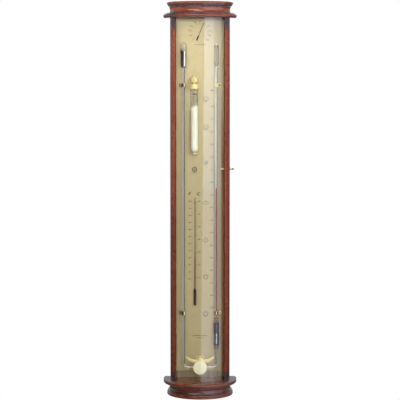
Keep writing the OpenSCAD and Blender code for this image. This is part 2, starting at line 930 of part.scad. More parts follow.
// Turned cap: flange, neck, fluted crown and a ball finial
module storm_cap() {
    bevel = 1.5;
    flange_r = storm_r + cap_flange_w;
    flange_top = storm_z + cap_flange_h;
    crown_foot = flange_top + cap_neck_h;
    crown_top = crown_foot + cap_crown_h;
    ball_z = crown_top + cap_finial_h - cap_ball_r;
    stem_r = cap_ball_r / 2;
    color(brass) at_storm() difference() {
        union() {
            turned([
                [flange_r, storm_z],
                [flange_r, flange_top - bevel],
                [flange_r - bevel, flange_top],
                [cap_neck_r, flange_top + 2 * bevel],
                [cap_neck_r, crown_foot],
                [cap_crown_r, crown_foot + bevel],
                [cap_crown_r, crown_top - bevel],
                [stem_r, crown_top],
                [stem_r, ball_z]
            ]);
            translate([0, 0, ball_z]) sphere(cap_ball_r);
        }
        rod(storm_r + slip, storm_z - cut, storm_z + cap_socket);
        for (k = [0 : cap_flutes - 1])
            rotate([0, 0, (k + 0.5) * 360 / cap_flutes]) translate([cap_crown_r, 0, 0])
                rod(cap_flute_r, crown_foot - cut, crown_top + cut);
    }
}

// The bracket's ring carries the flange; its foot is screwed to the plate
module storm_bracket() {
    ring_r = storm_r + cap_flange_w;
    color(brass) difference() {
        union() {
            at_storm() rod(ring_r, storm_z - storm_ring_h, storm_z);
            translate([storm_x - storm_foot_w / 2, storm_y, storm_z - storm_ring_h])
                cube([storm_foot_w, plate_face - storm_y, storm_ring_h]);
            translate([storm_x - storm_foot_w / 2, plate_face - storm_foot_t, storm_foot_z])
                cube([storm_foot_w, storm_foot_t, storm_foot_h]);
        }
        at_storm() rod(storm_r + slip, storm_z - storm_ring_h - cut, storm_z + cut);
        for (site = storm_foot_sites)
            front_hole(site, plate_face - storm_foot_t, storm_foot_t + cut);
    }
}

module storm_rest() {
    foot_top = rest_screw_z + foot_edge;
    lip = 1;
    color(brass) difference() {
        union() {
            at_storm() rod(storm_rest_r, rest_z - storm_rest_h, rest_z + lip);
            translate([storm_x - storm_rest_r, storm_y, rest_z - storm_rest_h])
                cube([2 * storm_rest_r, plate_face - storm_y, storm_rest_h]);
            translate([storm_x - storm_rest_r, plate_face - storm_foot_t, rest_z - storm_rest_h])
                cube([2 * storm_rest_r, storm_foot_t, foot_top - rest_z + storm_rest_h]);
        }
        at_storm() translate([0, 0, storm_end + storm_r]) sphere(storm_r + slip);
        front_hole([storm_x, rest_screw_z], plate_face - storm_foot_t, storm_foot_t + cut);
    }
}

module storm_screws() {
    color(brass) for (site = storm_sites)
        front_screw(site, plate_face - storm_foot_t, storm_foot_t + plate_t);
}

// Thermometer

module at_thermo() {
    translate([thermo_x, thermo_y, 0]) children();
}

module thermo_space(r_bulb, r_stem, z1) {
    at_thermo() {
        translate([0, 0, thermo_z + bulb_r]) sphere(r_bulb);
        turned([
            [r_bulb, thermo_z + bulb_r],
            [r_bulb, thermo_z + bulb_l - bulb_r],
            [r_stem, thermo_z + bulb_l],
            [r_stem, z1]
        ]);
    }
}

module thermometer_tube() {
    stem_top = thermo_z + thermo_l - thermo_r;
    color(clear, 0.4) difference() {
        union() {
            thermo_space(bulb_r, thermo_r, stem_top);
            at_thermo() translate([0, 0, stem_top]) sphere(thermo_r);
        }
        thermo_space(bulb_r - bulb_wall, thermo_bore, stem_top);
    }
}

module thermometer_spirit() {
    color("darkred") thermo_space(bulb_r - bulb_wall - film, thermo_bore - film, thermo_z + spirit_h);
}

// Wire staples over the stem, with their legs through the plate
module thermometer_staples() {
    color(brass) for (z = staple_sites) translate([thermo_x, thermo_y, z]) {
        rotate([0, 0, 180]) rotate_extrude(angle = 180) translate([staple_ring, 0]) circle(staple_r);
        for (side = [-1, 1])
            toward_wall([side * staple_ring, 0, 0]) cylinder(r = staple_r, h = plate_back - thermo_y);
    }
}

// Hygrometer

module at_dial(y) {
    translate([0, y, dial_z]) children();
}

// A cup behind the plate with three screwed ears and a rear pivot hole
module hygrometer_drum() {
    ear_half = screw_head_r + clip_edge;
    color("tan") difference() {
        union() {
            at_dial(plate_back) toward_wall([0, 0, 0]) cylinder(r = drum_r, h = drum_l);
            for (a = ear_angles)
                at_dial(plate_back) toward_wall([ear_r * cos(a), 0, ear_r * sin(a)])
                    cylinder(r = ear_half, h = drum_wall);
        }
        at_dial(plate_back) toward_wall([0, 0, 0]) rod(drum_r - drum_wall, -cut, drum_l - drum_wall);
        at_dial(plate_back) toward_wall([0, 0, 0]) rod(spindle_r + run_fit, 0, drum_l + cut);
        for (a = ear_angles)
            at_dial(plate_back) toward_wall([ear_r * cos(a), 0, ear_r * sin(a)]) {
                rod(screw_r + slip, -cut, drum_wall + cut);
                rod(screw_head_r + slip, drum_wall, drum_l + cut);
            }
    }
}

module drum_screws() {
    color(brass) for (a = ear_angles)
        at_dial(plate_back) toward_viewer([ear_r * cos(a), drum_wall, ear_r * sin(a)]) {
            cylinder(r = screw_r, h = drum_wall + plate_t / 2 - slip);
            translate([0, 0, -screw_head_h]) cylinder(r = screw_head_r, h = screw_head_h);
        }
}

// Spiral strip from the collet to the drum's wall
function spiral(offset) = [
    for (k = [0 : coil_steps * coil_turns])
        let (r = coil_r0 + offset + (coil_r1 - coil_r0) * k / (coil_steps * coil_turns), a = 360 * k / coil_steps)
            [r * cos(a), r * sin(a)]
];

module hygrometer_coil() {
    inner = spiral(0);
    outer = spiral(coil_t);
    count = len(inner);
    color("wheat") at_dial(coil_y) toward_wall([0, 0, 0]) linear_extrude(coil_w)
        polygon(concat(inner, [for (k = [count - 1 : -1 : 0]) outer[k]]));
}

module hygrometer_bush() {
    color(brass) difference() {
        at_dial(plate_face) toward_wall([0, 0, 0]) {
            cylinder(r = bush_r, h = plate_t);
            translate([0, 0, -bush_flange_t]) cylinder(r = bush_flange_r, h = bush_flange_t);
        }
        at_dial(plate_face) toward_wall([0, 0, 0]) rod(spindle_r + run_fit, -bush_flange_t - cut, plate_t + cut);
    }
}

// The spindle carries the coil's collet and runs in the bush and the drum's back
module hygrometer_spindle() {
    front = pointer_back - pointer_t - spindle_r;
    color("silver") at_dial(0) {
        toward_wall([0, front, 0]) cylinder(r = spindle_r, h = drum_back - front);
        toward_wall([0, coil_y, 0]) cylinder(r = collet_r, h = coil_w);
    }
}

module hygrometer_pointer() {
    root_half = spindle_r;
    tip_half = 0.7 * spindle_r;
    stem_half = spindle_r / 2;
    tail_half = pointer_tail_w / 2;
    tail_from = pointer_tail * 0.4;
    color("dimgray") at_dial(pointer_back) rotate([0, pointer_angle, 0]) rotate([90, 0, 0]) difference() {
        union() {
            cylinder(r = 1.6 * spindle_r, h = pointer_t);
            linear_extrude(pointer_t) polygon([
                [stem_half, -tail_from], [root_half, 0], [tip_half, pointer_tip],
                [-tip_half, pointer_tip], [-root_half, 0], [-stem_half, -tail_from],
                [-tail_half, -tail_from], [-tail_half, -pointer_tail],
                [tail_half, -pointer_tail], [tail_half, -tail_from]
            ]);
        }
        rod(spindle_r + slip / 4, -cut, pointer_t + cut);
    }
}

// Set pointer: a rod through the stile's slot, gripped by a felt on each side

module marker_rod() {
    color(brass) to_the_right([marker_rod_x0, tube_y, marker_z])
        cylinder(r = marker_rod_r, h = marker_rod_x1 - marker_rod_x0);
}

module marker_felts() {
    color("tan") for (x = [marker_base_x, marker_out_x + run_fit])
        to_the_right([x, tube_y, marker_z]) difference() {
            cylinder(r = felt_r, h = felt_t);
            rod(marker_rod_r + slip, -cut, felt_t + cut);
        }
}

module marker_pointer() {
    point_r = 0.4;
    shoulder = 0.75 * marker_reach;
    color(brass) difference() {
        translate([marker_base_x, tube_y, marker_z]) rotate([0, -90, 0]) turned([
            [marker_base_r, 0],
            [marker_base_r, felt_t],
            [marker_rod_r + socket_wall, shoulder],
            [point_r, marker_reach - felt_t]
        ]);
        to_the_right([marker_rod_x0 - slip, tube_y, marker_z])
            cylinder(r = marker_rod_r + slip / 2, h = marker_reach);
    }
}

module marker_knob() {
    ball_x = marker_knob_l - marker_ball_r;
    flange_r = marker_base_r + socket_wall;
    neck_r = marker_rod_r + socket_wall;
    color(brass) difference() {
        union() {
            to_the_right([marker_knob_x, tube_y, marker_z]) turned([
                [flange_r, 0],
                [flange_r, felt_t],
                [neck_r, 2 * felt_t],
                [neck_r, ball_x]
            ]);
            translate([marker_knob_x + ball_x, tube_y, marker_z]) sphere(marker_ball_r);
        }
        to_the_right([marker_knob_x - cut, tube_y, marker_z])
            cylinder(r = marker_rod_r + slip / 2, h = cut + marker_knob_l / 2 + slip);
    }
}

// Gilt bow: two wings that leave a round knot, dip, swell and lift to their tips

function wing_mid(t) = [bow_span * t, bow_lift * t * t - bow_dip * sin(180 * abs(t))];
function wing_half(t) = [0, wing_end + (bow_wing - wing_end) * sin(180 * pow(abs(t), 0.8))];

module wings() {
    steps = [for (k = [-12 : 12]) k / 12];
    upper = [for (t = steps) wing_mid(t) + wing_half(t)];
    lower = [for (t = steps) wing_mid(-t) - wing_half(t)];
    polygon(concat(upper, lower));
}

module gilt_bow() {
    color(brass) difference() {
        toward_viewer([0, bow_back, bow_z]) {
            cylinder(r = bow_knot_r, h = bow_t);
            linear_extrude(bow_t) wings();
        }
        for (site = bow_sites) front_hole(site, bow_face, bow_t + cut);
        toward_wall([0, bow_face, bow_z]) rod(medal_pin_r + slip, -cut, bow_t + cut);
    }
}

module bow_posts() {
    color(brass) for (site = bow_sites) difference() {
        toward_wall([site[0], bow_back, site[1]]) cylinder(r = bow_post_r, h = plate_face - bow_back);
        front_hole(site, bow_back, plate_face - bow_back + cut);
    }
}

module bow_screws() {
    color(brass) for (site = bow_sites)
        front_screw(site, bow_face, plate_back - bow_face + screw_bite);
}

// The pin is headed at the front and riveted behind the bow
module medallion_pin() {
    head_t = 1;
    rivet_t = 0.5;
    reach = medal_t + 2 * run_fit;
    color(brass) toward_viewer([0, bow_back, bow_z]) {
        cylinder(r = medal_pin_r, h = bow_t + reach + head_t);
        translate([0, 0, bow_t + reach]) cylinder(r = medal_head_r, h = head_t);
        translate([0, 0, -rivet_t]) cylinder(r = medal_pin_r + rivet_t, h = rivet_t);
    }
}

module medallion() {
    color("cornsilk") difference() {
        translate([0, medal_back, 0]) rotate([90, 0, 0]) linear_extrude(medal_t) {
            translate([0, medal_z]) circle(medal_r);
            translate([0, bow_z]) circle(medal_lug_r);
            translate([-medal_lug_r, medal_z]) square([2 * medal_lug_r, medal_r + medal_lug_r]);
        }
        toward_wall([0, medal_back - medal_t, bow_z]) rod(medal_pin_r + run_fit, -cut, medal_t + cut);
    }
}

back_board();
left_stile();
right_stile();
back_screws();
cornice_board();
cornice_neck();
cornice_cap();
cornice_dowels();
base_board();
base_neck();
base_foot();
base_dowels();
bow_glass();
hanger_plate();
hanger_screws();
scale_plate();
plate_pillars();
barometer_tube();
mercury();
red_liquid();
breather_plug();
upper_left_clip();
lower_left_clip();
upper_right_clip();
lower_right_clip();
clip_screws();
storm_glass();
storm_liquid();
storm_crystals();
storm_cap();
storm_bracket();
storm_rest();
storm_screws();
thermometer_tube();
thermometer_spirit();
thermometer_staples();
hygrometer_drum();
drum_screws();
hygrometer_coil();
hygrometer_bush();
hygrometer_spindle();
hygrometer_pointer();
marker_rod();
marker_pointer();
marker_knob();
marker_felts();
gilt_bow();
bow_posts();
bow_screws();
medallion();
medallion_pin();
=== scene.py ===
import json
import math

import bmesh
import bpy
import numpy as np
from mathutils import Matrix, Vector


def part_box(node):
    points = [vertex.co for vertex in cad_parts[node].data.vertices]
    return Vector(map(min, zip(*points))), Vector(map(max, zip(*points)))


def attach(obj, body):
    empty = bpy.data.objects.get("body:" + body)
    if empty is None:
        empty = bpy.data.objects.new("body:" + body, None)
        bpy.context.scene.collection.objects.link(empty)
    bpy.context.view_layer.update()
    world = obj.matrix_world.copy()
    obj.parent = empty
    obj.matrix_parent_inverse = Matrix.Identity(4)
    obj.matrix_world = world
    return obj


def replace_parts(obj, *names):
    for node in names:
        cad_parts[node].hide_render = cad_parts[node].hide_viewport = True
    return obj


# Looks of a contra barometer in a bow-fronted case: finishes, printed scales, liquids and ornaments.
# Metres. +X is the viewer's right, +Y points into the wall and +Z is up.

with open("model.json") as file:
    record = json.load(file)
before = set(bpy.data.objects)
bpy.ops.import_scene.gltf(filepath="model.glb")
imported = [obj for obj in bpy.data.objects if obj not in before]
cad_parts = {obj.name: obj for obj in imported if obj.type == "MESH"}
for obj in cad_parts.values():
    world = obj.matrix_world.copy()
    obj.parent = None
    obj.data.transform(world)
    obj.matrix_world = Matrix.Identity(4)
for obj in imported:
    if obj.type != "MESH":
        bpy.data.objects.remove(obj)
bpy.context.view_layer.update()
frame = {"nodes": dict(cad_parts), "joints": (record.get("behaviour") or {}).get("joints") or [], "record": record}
scene = bpy.context.scene
joints = {joint["name"]: joint for joint in frame["joints"]}

MM = 0.001
MERGE = 1e-7
SHARP = math.radians(40)


# Places read from the frame

def low(name):
    """Lowest corner of a CAD node."""
    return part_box(name)[0]


def high(name):
    """Highest corner of a CAD node."""
    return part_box(name)[1]


def middle(name):
    """Centre of a CAD node's box."""
    return (low(name) + high(name)) / 2


CISTERN_LENGTH = 74 * MM
CISTERN_MERCURY = 38 * MM
BULB_LENGTH = 49 * MM

CASE_TOP = high("left_stile").z
CASE_FLOOR = low("left_stile").z
STILE_IN = low("right_stile").x
STILE_OUT = high("right_stile").x
BOW_AXIS_Y = low("cornice_board").y + high("cornice_board").x
PLATE_FACE = low("scale_plate").y
TUBE_X = middle("red_liquid").x
TUBE_Y = middle("red_liquid").y
CISTERN_LEVEL = low("red_liquid").z
CISTERN_FOOT = CISTERN_LEVEL - CISTERN_MERCURY
CISTERN_TOP = CISTERN_FOOT + CISTERN_LENGTH
BULB_FOOT = low("thermometer_tube").z
BULB_TOP = BULB_FOOT + BULB_LENGTH
DIAL_Z = joints["hygrometer_turn"]["pos_m"][2]
BOW_Z = joints["medallion_swing"]["pos_m"][2]


# Meshes from arrays

def triangles(quads):
    """Two triangles for each four-cornered face."""
    return np.concatenate([quads[:, [0, 1, 2]], quads[:, [0, 2, 3]]])


def grid_faces(rows, columns):
    """Faces of a grid of rings stored ring by ring, each ring closed on itself."""
    row = np.arange(rows - 1)[:, None] * columns
    here = np.arange(columns)[None, :]
    there = (here + 1) % columns
    corners = [row + here, row + there, row + columns + there, row + columns + here]
    return triangles(np.stack(corners, axis=-1).reshape(-1, 4))


def join(parts):
    """One point array and one face array, with each part's faces shifted past the points before it."""
    starts = np.cumsum([0] + [len(points) for points, _ in parts[:-1]])
    points = np.concatenate([points for points, _ in parts])
    faces = np.concatenate([faces + start for (_, faces), start in zip(parts, starts)])
    return points, faces


def full_turn(steps):
    """Angles of a whole turn in even steps, without the one that closes it."""
    return np.linspace(0, 2 * math.pi, steps, endpoint=False)


def close_ends(rings):
    """A row of rings with both ends closed: before the first and after the last, all points at its middle."""
    start, end = (0 * ring + ring.mean(axis=0) for ring in (rings[0], rings[-1]))
    return np.concatenate([start[None], rings, end[None]])


def make_piece(name, part, finish, body="case"):
    """A mesh object at the origin, closed at seams and poles, with faces outwards, riding on a body."""
    points, faces = part
    mesh = bpy.data.meshes.new(name)
    mesh.from_pydata(points.tolist(), [], faces.tolist())
    work = bmesh.new()
    work.from_mesh(mesh)
    bmesh.ops.remove_doubles(work, verts=work.verts, dist=MERGE)
    bmesh.ops.dissolve_degenerate(work, edges=work.edges, dist=MERGE)
    bmesh.ops.recalc_face_normals(work, faces=work.faces)
    work.to_mesh(mesh)
    work.free()
    mesh.polygons.foreach_set("use_smooth", np.ones(len(mesh.polygons), bool))
    mesh.set_sharp_from_angle(angle=SHARP)
    mesh.materials.append(finish)
    piece = bpy.data.objects.new(name, mesh)
    scene.collection.objects.link(piece)
    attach(piece, body)
    return piece


def rings_upright(radius, height, x, y, steps):
    """Rings about an upright axis: point = (x + r cos a, y + r sin a, h)."""
    turn = full_turn(steps)
    radius = np.asarray(radius)[:, None]
    height = np.asarray(height)[:, None] + 0 * turn
    return np.stack([x + radius * np.cos(turn), y + radius * np.sin(turn), height], axis=-1)


def lathe(profile, x, y, steps=64):
    """A turned surface: each (radius, height) of the profile is a ring about the upright axis at (x, y)."""
    radius, height = np.array(profile, float).T
    rings = rings_upright(radius, height, x, y, steps)
    return rings.reshape(-1, 3), grid_faces(len(radius), steps)


def dish(profile, x, z, steps=64):
    """A turned surface that faces the viewer: each (radius, y) is a ring about the line along Y at (x, z)."""
    radius, depth = np.array(profile, float).T
    rings = rings_upright(radius, depth, x, z, steps)[..., [0, 2, 1]]
    return rings.reshape(-1, 3), grid_faces(len(radius), steps)


def torus(x, y, z, big, small, steps=40, sides=12):
    """A ring that faces the viewer: a circle of radius small carried round a circle of radius big."""
    turn = np.linspace(0, 2 * math.pi, sides + 1)
    return dish(np.stack([big + small * np.cos(turn), y + small * np.sin(turn)], axis=-1), x, z, steps)


BOX_QUADS = np.array([[0, 3, 2, 1], [4, 5, 6, 7], [0, 1, 5, 4], [1, 2, 6, 5], [2, 3, 7, 6], [3, 0, 4, 7]])


def box(low_corner, high_corner):
    """The eight corners and twelve triangles of an upright box."""
    corners = np.stack([low_corner, high_corner])
    pick = np.array([[0, 0, 0], [1, 0, 0], [1, 1, 0], [0, 1, 0], [0, 0, 1], [1, 0, 1], [1, 1, 1], [0, 1, 1]])
    return corners[pick, [0, 1, 2]], triangles(BOX_QUADS)


def sweep(x, z, heading, radius, y, sides=40):
    """A round tube in the upright plane at y: a ring about each (x, z), square to the heading there.
    Point = centre + r (cos a * normal + sin a * Y), where the normal is the heading turned a quarter."""
    turn = full_turn(sides)
    x, z, heading, radius = (np.asarray(values, float)[:, None] for values in (x, z, heading, radius))
    across = radius * np.cos(turn)
    points = [x - across * np.sin(heading), y + radius * np.sin(turn), z + across * np.cos(heading)]
    return np.stack(points, axis=-1).reshape(-1, 3), grid_faces(len(x), sides)


# Print on the plate: everything lies flat on the plate's face and stands proud by its own thickness

PRINT_T = 0.06 * MM
PRINT_SINK = 0.01 * MM
PRINT_BACK = PLATE_FACE + PRINT_SINK
PRINT_FRONT = PLATE_FACE - PRINT_T


def bars(x, z, heading, length, width):
    """Straight printed lines: each is a box centred on (x, z), long along its heading."""
    spread = np.broadcast_arrays(x, z, heading, length, width)
    x, z, heading, length, width = (np.atleast_1d(values)[:, None] for values in spread)
    along = np.array([-0.5, 0.5, 0.5, -0.5]) * length
    across = np.array([-0.5, -0.5, 0.5, 0.5]) * width
    corner_x = x + along * np.cos(heading) - across * np.sin(heading)
    corner_z = z + along * np.sin(heading) + across * np.cos(heading)
    sides = [np.stack([corner_x, 0 * corner_x + y, corner_z], axis=-1) for y in (PRINT_BACK, PRINT_FRONT)]
    points = np.concatenate(sides, axis=1).reshape(-1, 3)
    quads = (np.arange(len(x)) * 8)[:, None, None] + BOX_QUADS
    return points, triangles(quads.reshape(-1, 4))


def ribbon(x, z, width):
    """A bent printed line: the path (x, z) widened by half the width to both sides along its normals."""
    path = np.stack([x, z], axis=-1)
    along = np.gradient(path, axis=0)
    loop = np.allclose(path[0], path[-1])
    if loop:
        along[0] = along[-1] = path[1] - path[-2]
    normal = along[:, ::-1] * (-1, 1) / np.linalg.norm(along, axis=1)[:, None]
    one = path + normal * width / 2
    other = path - normal * width / 2
    corners = [(one, PRINT_BACK), (one, PRINT_FRONT), (other, PRINT_FRONT), (other, PRINT_BACK)]
    rings = np.stack([np.insert(edge, 1, y, axis=1) for edge, y in corners], axis=1)
    if not loop:
        rings = close_ends(rings)
    return rings.reshape(-1, 3), grid_faces(len(rings), 4)


def arc(x, z, radius, start, end, width, steps=24):
    """A printed arc about (x, z), from one angle in degrees to another."""
    turn = np.radians(np.linspace(start, end, steps + 1))
    return ribbon(x + radius * np.cos(turn), z + radius * np.sin(turn), width)


def lettering(text, x, z, size, align="CENTER", weight=0.16 * MM, slant=0.0):
    """Numerals or a unit sign as a thin solid on the plate, from the built-in plain font.
    The weight thickens each stroke on both sides."""
    curve = bpy.data.curves.new("numerals", "FONT")
    curve.body = text
    curve.size = size
    curve.align_x = align
    curve.align_y = "CENTER"
    curve.shear = slant
    curve.offset = weight
    curve.extrude = (PRINT_T + PRINT_SINK) / 2
    curve.resolution_u = 3
    holder = bpy.data.objects.new("numerals", curve)
    mesh = bpy.data.meshes.new_from_object(holder)
    flat = np.zeros(len(mesh.vertices) * 3)
    mesh.vertices.foreach_get("co", flat)
    flat = flat.reshape(-1, 3)
    mesh.calc_loop_triangles()
    faces = np.zeros(len(mesh.loop_triangles) * 3, int)
    mesh.loop_triangles.foreach_get("vertices", faces)
    bpy.data.objects.remove(holder)
    bpy.data.curves.remove(curve)
    bpy.data.meshes.remove(mesh)
    depth = (PRINT_BACK + PRINT_FRONT) / 2 - flat[:, 2]
    return np.stack([x + flat[:, 0], depth, z + flat[:, 1]], axis=-1), faces.reshape(-1, 3)


# Shader nodes

def put(tree, entry, value):
    """Links a socket to an input, or sets the input's own value."""
    if isinstance(value, bpy.types.NodeSocket):
        tree.links.new(value, entry)
    else:
        entry.default_value = value


def node(tree, kind, **settings):
    """One shader node. A setting is a property, or goes to the input of that name."""
    made = tree.nodes.new("ShaderNode" + kind)
    for key, value in settings.items():
        if hasattr(made, key):
            setattr(made, key, value)
        else:
            put(tree, made.inputs[key.replace("_", " ")], value)
    return made


def feed(tree, made, *values):
    """Sets or links a node's inputs in order, leaves those given None, and returns its first output."""
    for entry, value in zip(made.inputs, values):
        if value is not None:
            put(tree, entry, value)
    return made.outputs[0]


def maths(tree, operation, *values):
    """The result of a Math node."""
    return feed(tree, node(tree, "Math", operation=operation), *values)


def halfway(tree, first, second):
    """The mean of two values."""
    return maths(tree, "MULTIPLY_ADD", first, 0.5, maths(tree, "MULTIPLY", second, 0.5))


def span(tree, value, start, end, to_start=0.0, to_end=1.0):
    """A value eased from one range to another."""
    made = node(tree, "MapRange", interpolation_type="SMOOTHSTEP")
    return feed(tree, made, value, start, end, to_start, to_end)


def blend(tree, factor, first, second):
    """A colour between two colours."""
    made = node(tree, "Mix", data_type="RGBA")
    for place, value in ((0, factor), (6, first), (7, second)):
        put(tree, made.inputs[place], value)
    return made.outputs[2]


def ramp(tree, value, *stops):
    """A colour ramp from (position, colour) stops."""
    made = node(tree, "ValToRGB", Fac=value)
    band = made.color_ramp.elements
    while len(band) < len(stops):
        band.new(0.5)
    for element, (position, colour) in zip(band, stops):
        element.position = position
        element.color = colour
    return made.outputs["Color"]


def paint(red, green, blue):
    """A linear colour with full alpha."""
    return (red, green, blue, 1.0)


def blank_material(name):
    """A new material that has only an output, its node tree, and that output."""
    material = bpy.data.materials.new(name)
    material.use_nodes = True
    tree = material.node_tree
    tree.nodes.clear()
    return material, tree, node(tree, "OutputMaterial")


def stretched(tree, scale):
    """Object coordinates scaled along the axes, so a pattern runs long where the scale is small."""
    place = node(tree, "TexCoord").outputs["Object"]
    return node(tree, "Mapping", Vector=place, Scale=scale).outputs["Vector"]


def axis_value(tree, axis):
    """One Object coordinate, in metres."""
    place = node(tree, "TexCoord").outputs["Object"]
    return node(tree, "SeparateXYZ", Vector=place).outputs[axis]


def new_group(name, outputs):
    """A shader node group with a Vector input and value outputs."""
    group = bpy.data.node_groups.new(name, "ShaderNodeTree")
    group.interface.new_socket("Vector", in_out="INPUT", socket_type="NodeSocketVector")
    for output in outputs:
        group.interface.new_socket(output, in_out="OUTPUT", socket_type="NodeSocketFloat")
    start = group.nodes.new("NodeGroupInput")
    end = group.nodes.new("NodeGroupOutput")
    return group, start.outputs["Vector"], end


def noise_value(tree, vector, scale, detail, distortion=0.0, roughness=0.5):
    """A noise pattern's value."""
    settings = {"Scale": scale, "Detail": detail, "Distortion": distortion, "Roughness": roughness}
    return node(tree, "TexNoise", Vector=vector, **settings).outputs[0]


def grain_group():
    """Wood grain on stretched coordinates: a broad figure and the fine open pores."""
    group, vector, end = new_group("wood_grain", ["Figure", "Pore"])
    figure = noise_value(group, vector, 1.0, 5.0, distortion=0.8)
    pore = span(group, noise_value(group, vector, 7.0, 2.0), 0.56, 0.72)
    group.links.new(figure, end.inputs["Figure"])
    group.links.new(pore, end.inputs["Pore"])
    return group


def brush_group():
    """Fine straight scratches on stretched coordinates."""
    group, vector, end = new_group("brushed_lines", ["Streak"])
    wide = noise_value(group, vector, 1.0, 3.0)
    fine = noise_value(group, vector, 6.0, 2.0)
    group.links.new(halfway(group, wide, fine), end.inputs["Streak"])
    return group


def cloud_group():
    """Soft patches of handling and polish."""
    group, vector, end = new_group("handling_marks", ["Cloud"])
    group.links.new(noise_value(group, vector, 1.0, 4.0, roughness=0.6), end.inputs["Cloud"])
    return group


GRAIN = grain_group()
BRUSH = brush_group()
CLOUD = cloud_group()


def use_group(tree, group, vector, output):
    """One output of a shared group at the given coordinates."""
    made = node(tree, "Group", node_tree=group)
    tree.links.new(vector, made.inputs["Vector"])
    return made.outputs[output]


def bumped(tree, height, strength, distance):
    """A normal raised by a height pattern."""
    return node(tree, "Bump", Height=height, Strength=strength, Distance=distance).outputs["Normal"]


def finish_with(tree, output, **settings):
    """One Principled shader with these inputs, joined to the output."""
    shader = node(tree, "BsdfPrincipled", **settings)
    tree.links.new(shader.outputs["BSDF"], output.inputs["Surface"])


def mix_shaders(tree, output, factor, first, second):
    """Two shaders mixed by a factor, joined to the output."""
    mixed = node(tree, "MixShader", Fac=factor)
    tree.links.new(first.outputs[0], mixed.inputs[1])
    tree.links.new(second.outputs[0], mixed.inputs[2])
    tree.links.new(mixed.outputs["Shader"], output.inputs["Surface"])


# Finishes

WOOD_DARK = paint(0.095, 0.017, 0.008)
# Near black: the colour of painted shade on the mouldings, of the darkened stile and base ends, and of the back
# board's clouds
WOOD_BLACK = paint(0.040, 0.034, 0.036)
MAHOGANY = (WOOD_DARK, paint(0.225, 0.047, 0.018), paint(0.295, 0.078, 0.032))
PALE_OAK = (paint(0.480, 0.340, 0.185), paint(0.620, 0.450, 0.260), paint(0.710, 0.540, 0.330))


def lacquered_wood(name, tones, stretch, edges, shade, gloss):
    """Stained wood under clear lacquer: dark, middle and light tones follow the grain.
    The edges function, if any, gives where shade is painted in by taking the colour to its dark tone, and the
    shade function where the colour goes to near black."""
    material, tree, output = blank_material(name)
    grain = stretched(tree, stretch)
    figure = use_group(tree, GRAIN, grain, "Figure")
    pore = use_group(tree, GRAIN, grain, "Pore")
    bare = ramp(tree, figure, *zip((0.25, 0.50, 0.72), tones))
    filled = blend(tree, maths(tree, "MULTIPLY", pore, 0.35), bare, tones[0])
    # Painted shade, where the edges function is given
    if edges:
        filled = blend(tree, edges(tree), filled, tones[0])
    # Near black where the shade function says: painted shade on the mouldings, the darkened stile and base ends,
    # the back board's clouds
    colour = blend(tree, shade(tree), filled, WOOD_BLACK)
    cloud = use_group(tree, CLOUD, stretched(tree, (25, 25, 25)), "Cloud")
    finish_with(
        tree, output, Base_Color=colour, Roughness=span(tree, cloud, 0.3, 0.7, 0.22, 0.34),
        Normal=bumped(tree, pore, 0.06, 0.0002), Specular_IOR_Level=0.1 + 0.25 * gloss, Coat_Weight=gloss,
        Coat_Roughness=0.06,
    )
    return material


# How dark the painted shade and the darkened ends are, from 0 to 1, and how far each reaches
INNER_DEPTH = 0.9
INNER_EDGE = 4 * MM
OUTER_DEPTH = 0.85
OUTER_EDGE = 9 * MM
OUTER_RIM = 2 * MM
STILE_END_DEPTH = 0.95
STILE_END_TOP = (48 * MM, 12 * MM)
STILE_END_FOOT = (36 * MM, 10 * MM)
CORNICE_DEPTH = 0.90
CORNICE_LEFT = (-40 * MM, -80 * MM)
BASE_END_DEPTH = 0.75
BASE_END = 18 * MM
BASE_DEPTH = 0.45
HOLLOW_DEPTH = 0.85
HOLLOW_SHADE = 4 * MM
BOARD_SHADE = 9 * MM
CAP_SHADE = 10 * MM
CAP_FADE = 3 * MM


def stile_edges(tree):
    """Painted shade across the stile, as on a rounded moulding: dark along the glass groove and in a wider band
    along the outer edge.
    """
    side = maths(tree, "ABSOLUTE", axis_value(tree, "X"))
    inner = span(tree, side, STILE_IN, STILE_IN + INNER_EDGE, INNER_DEPTH, 0.0)
    outer = span(tree, side, STILE_OUT - OUTER_EDGE, STILE_OUT - OUTER_RIM, 0.0, OUTER_DEPTH)
    return maths(tree, "MAXIMUM", inner, outer)


def stile_shade(tree):
    """The colour is near black at both ends of the stiles and fades along them."""
    height = axis_value(tree, "Z")
    top = span(tree, height, CASE_TOP - STILE_END_TOP[0], CASE_TOP - STILE_END_TOP[1], 0.0, STILE_END_DEPTH)
    foot = span(tree, height, CASE_FLOOR + STILE_END_FOOT[0], CASE_FLOOR + STILE_END_FOOT[1], 0.0, STILE_END_DEPTH)
    return maths(tree, "MAXIMUM", top, foot)


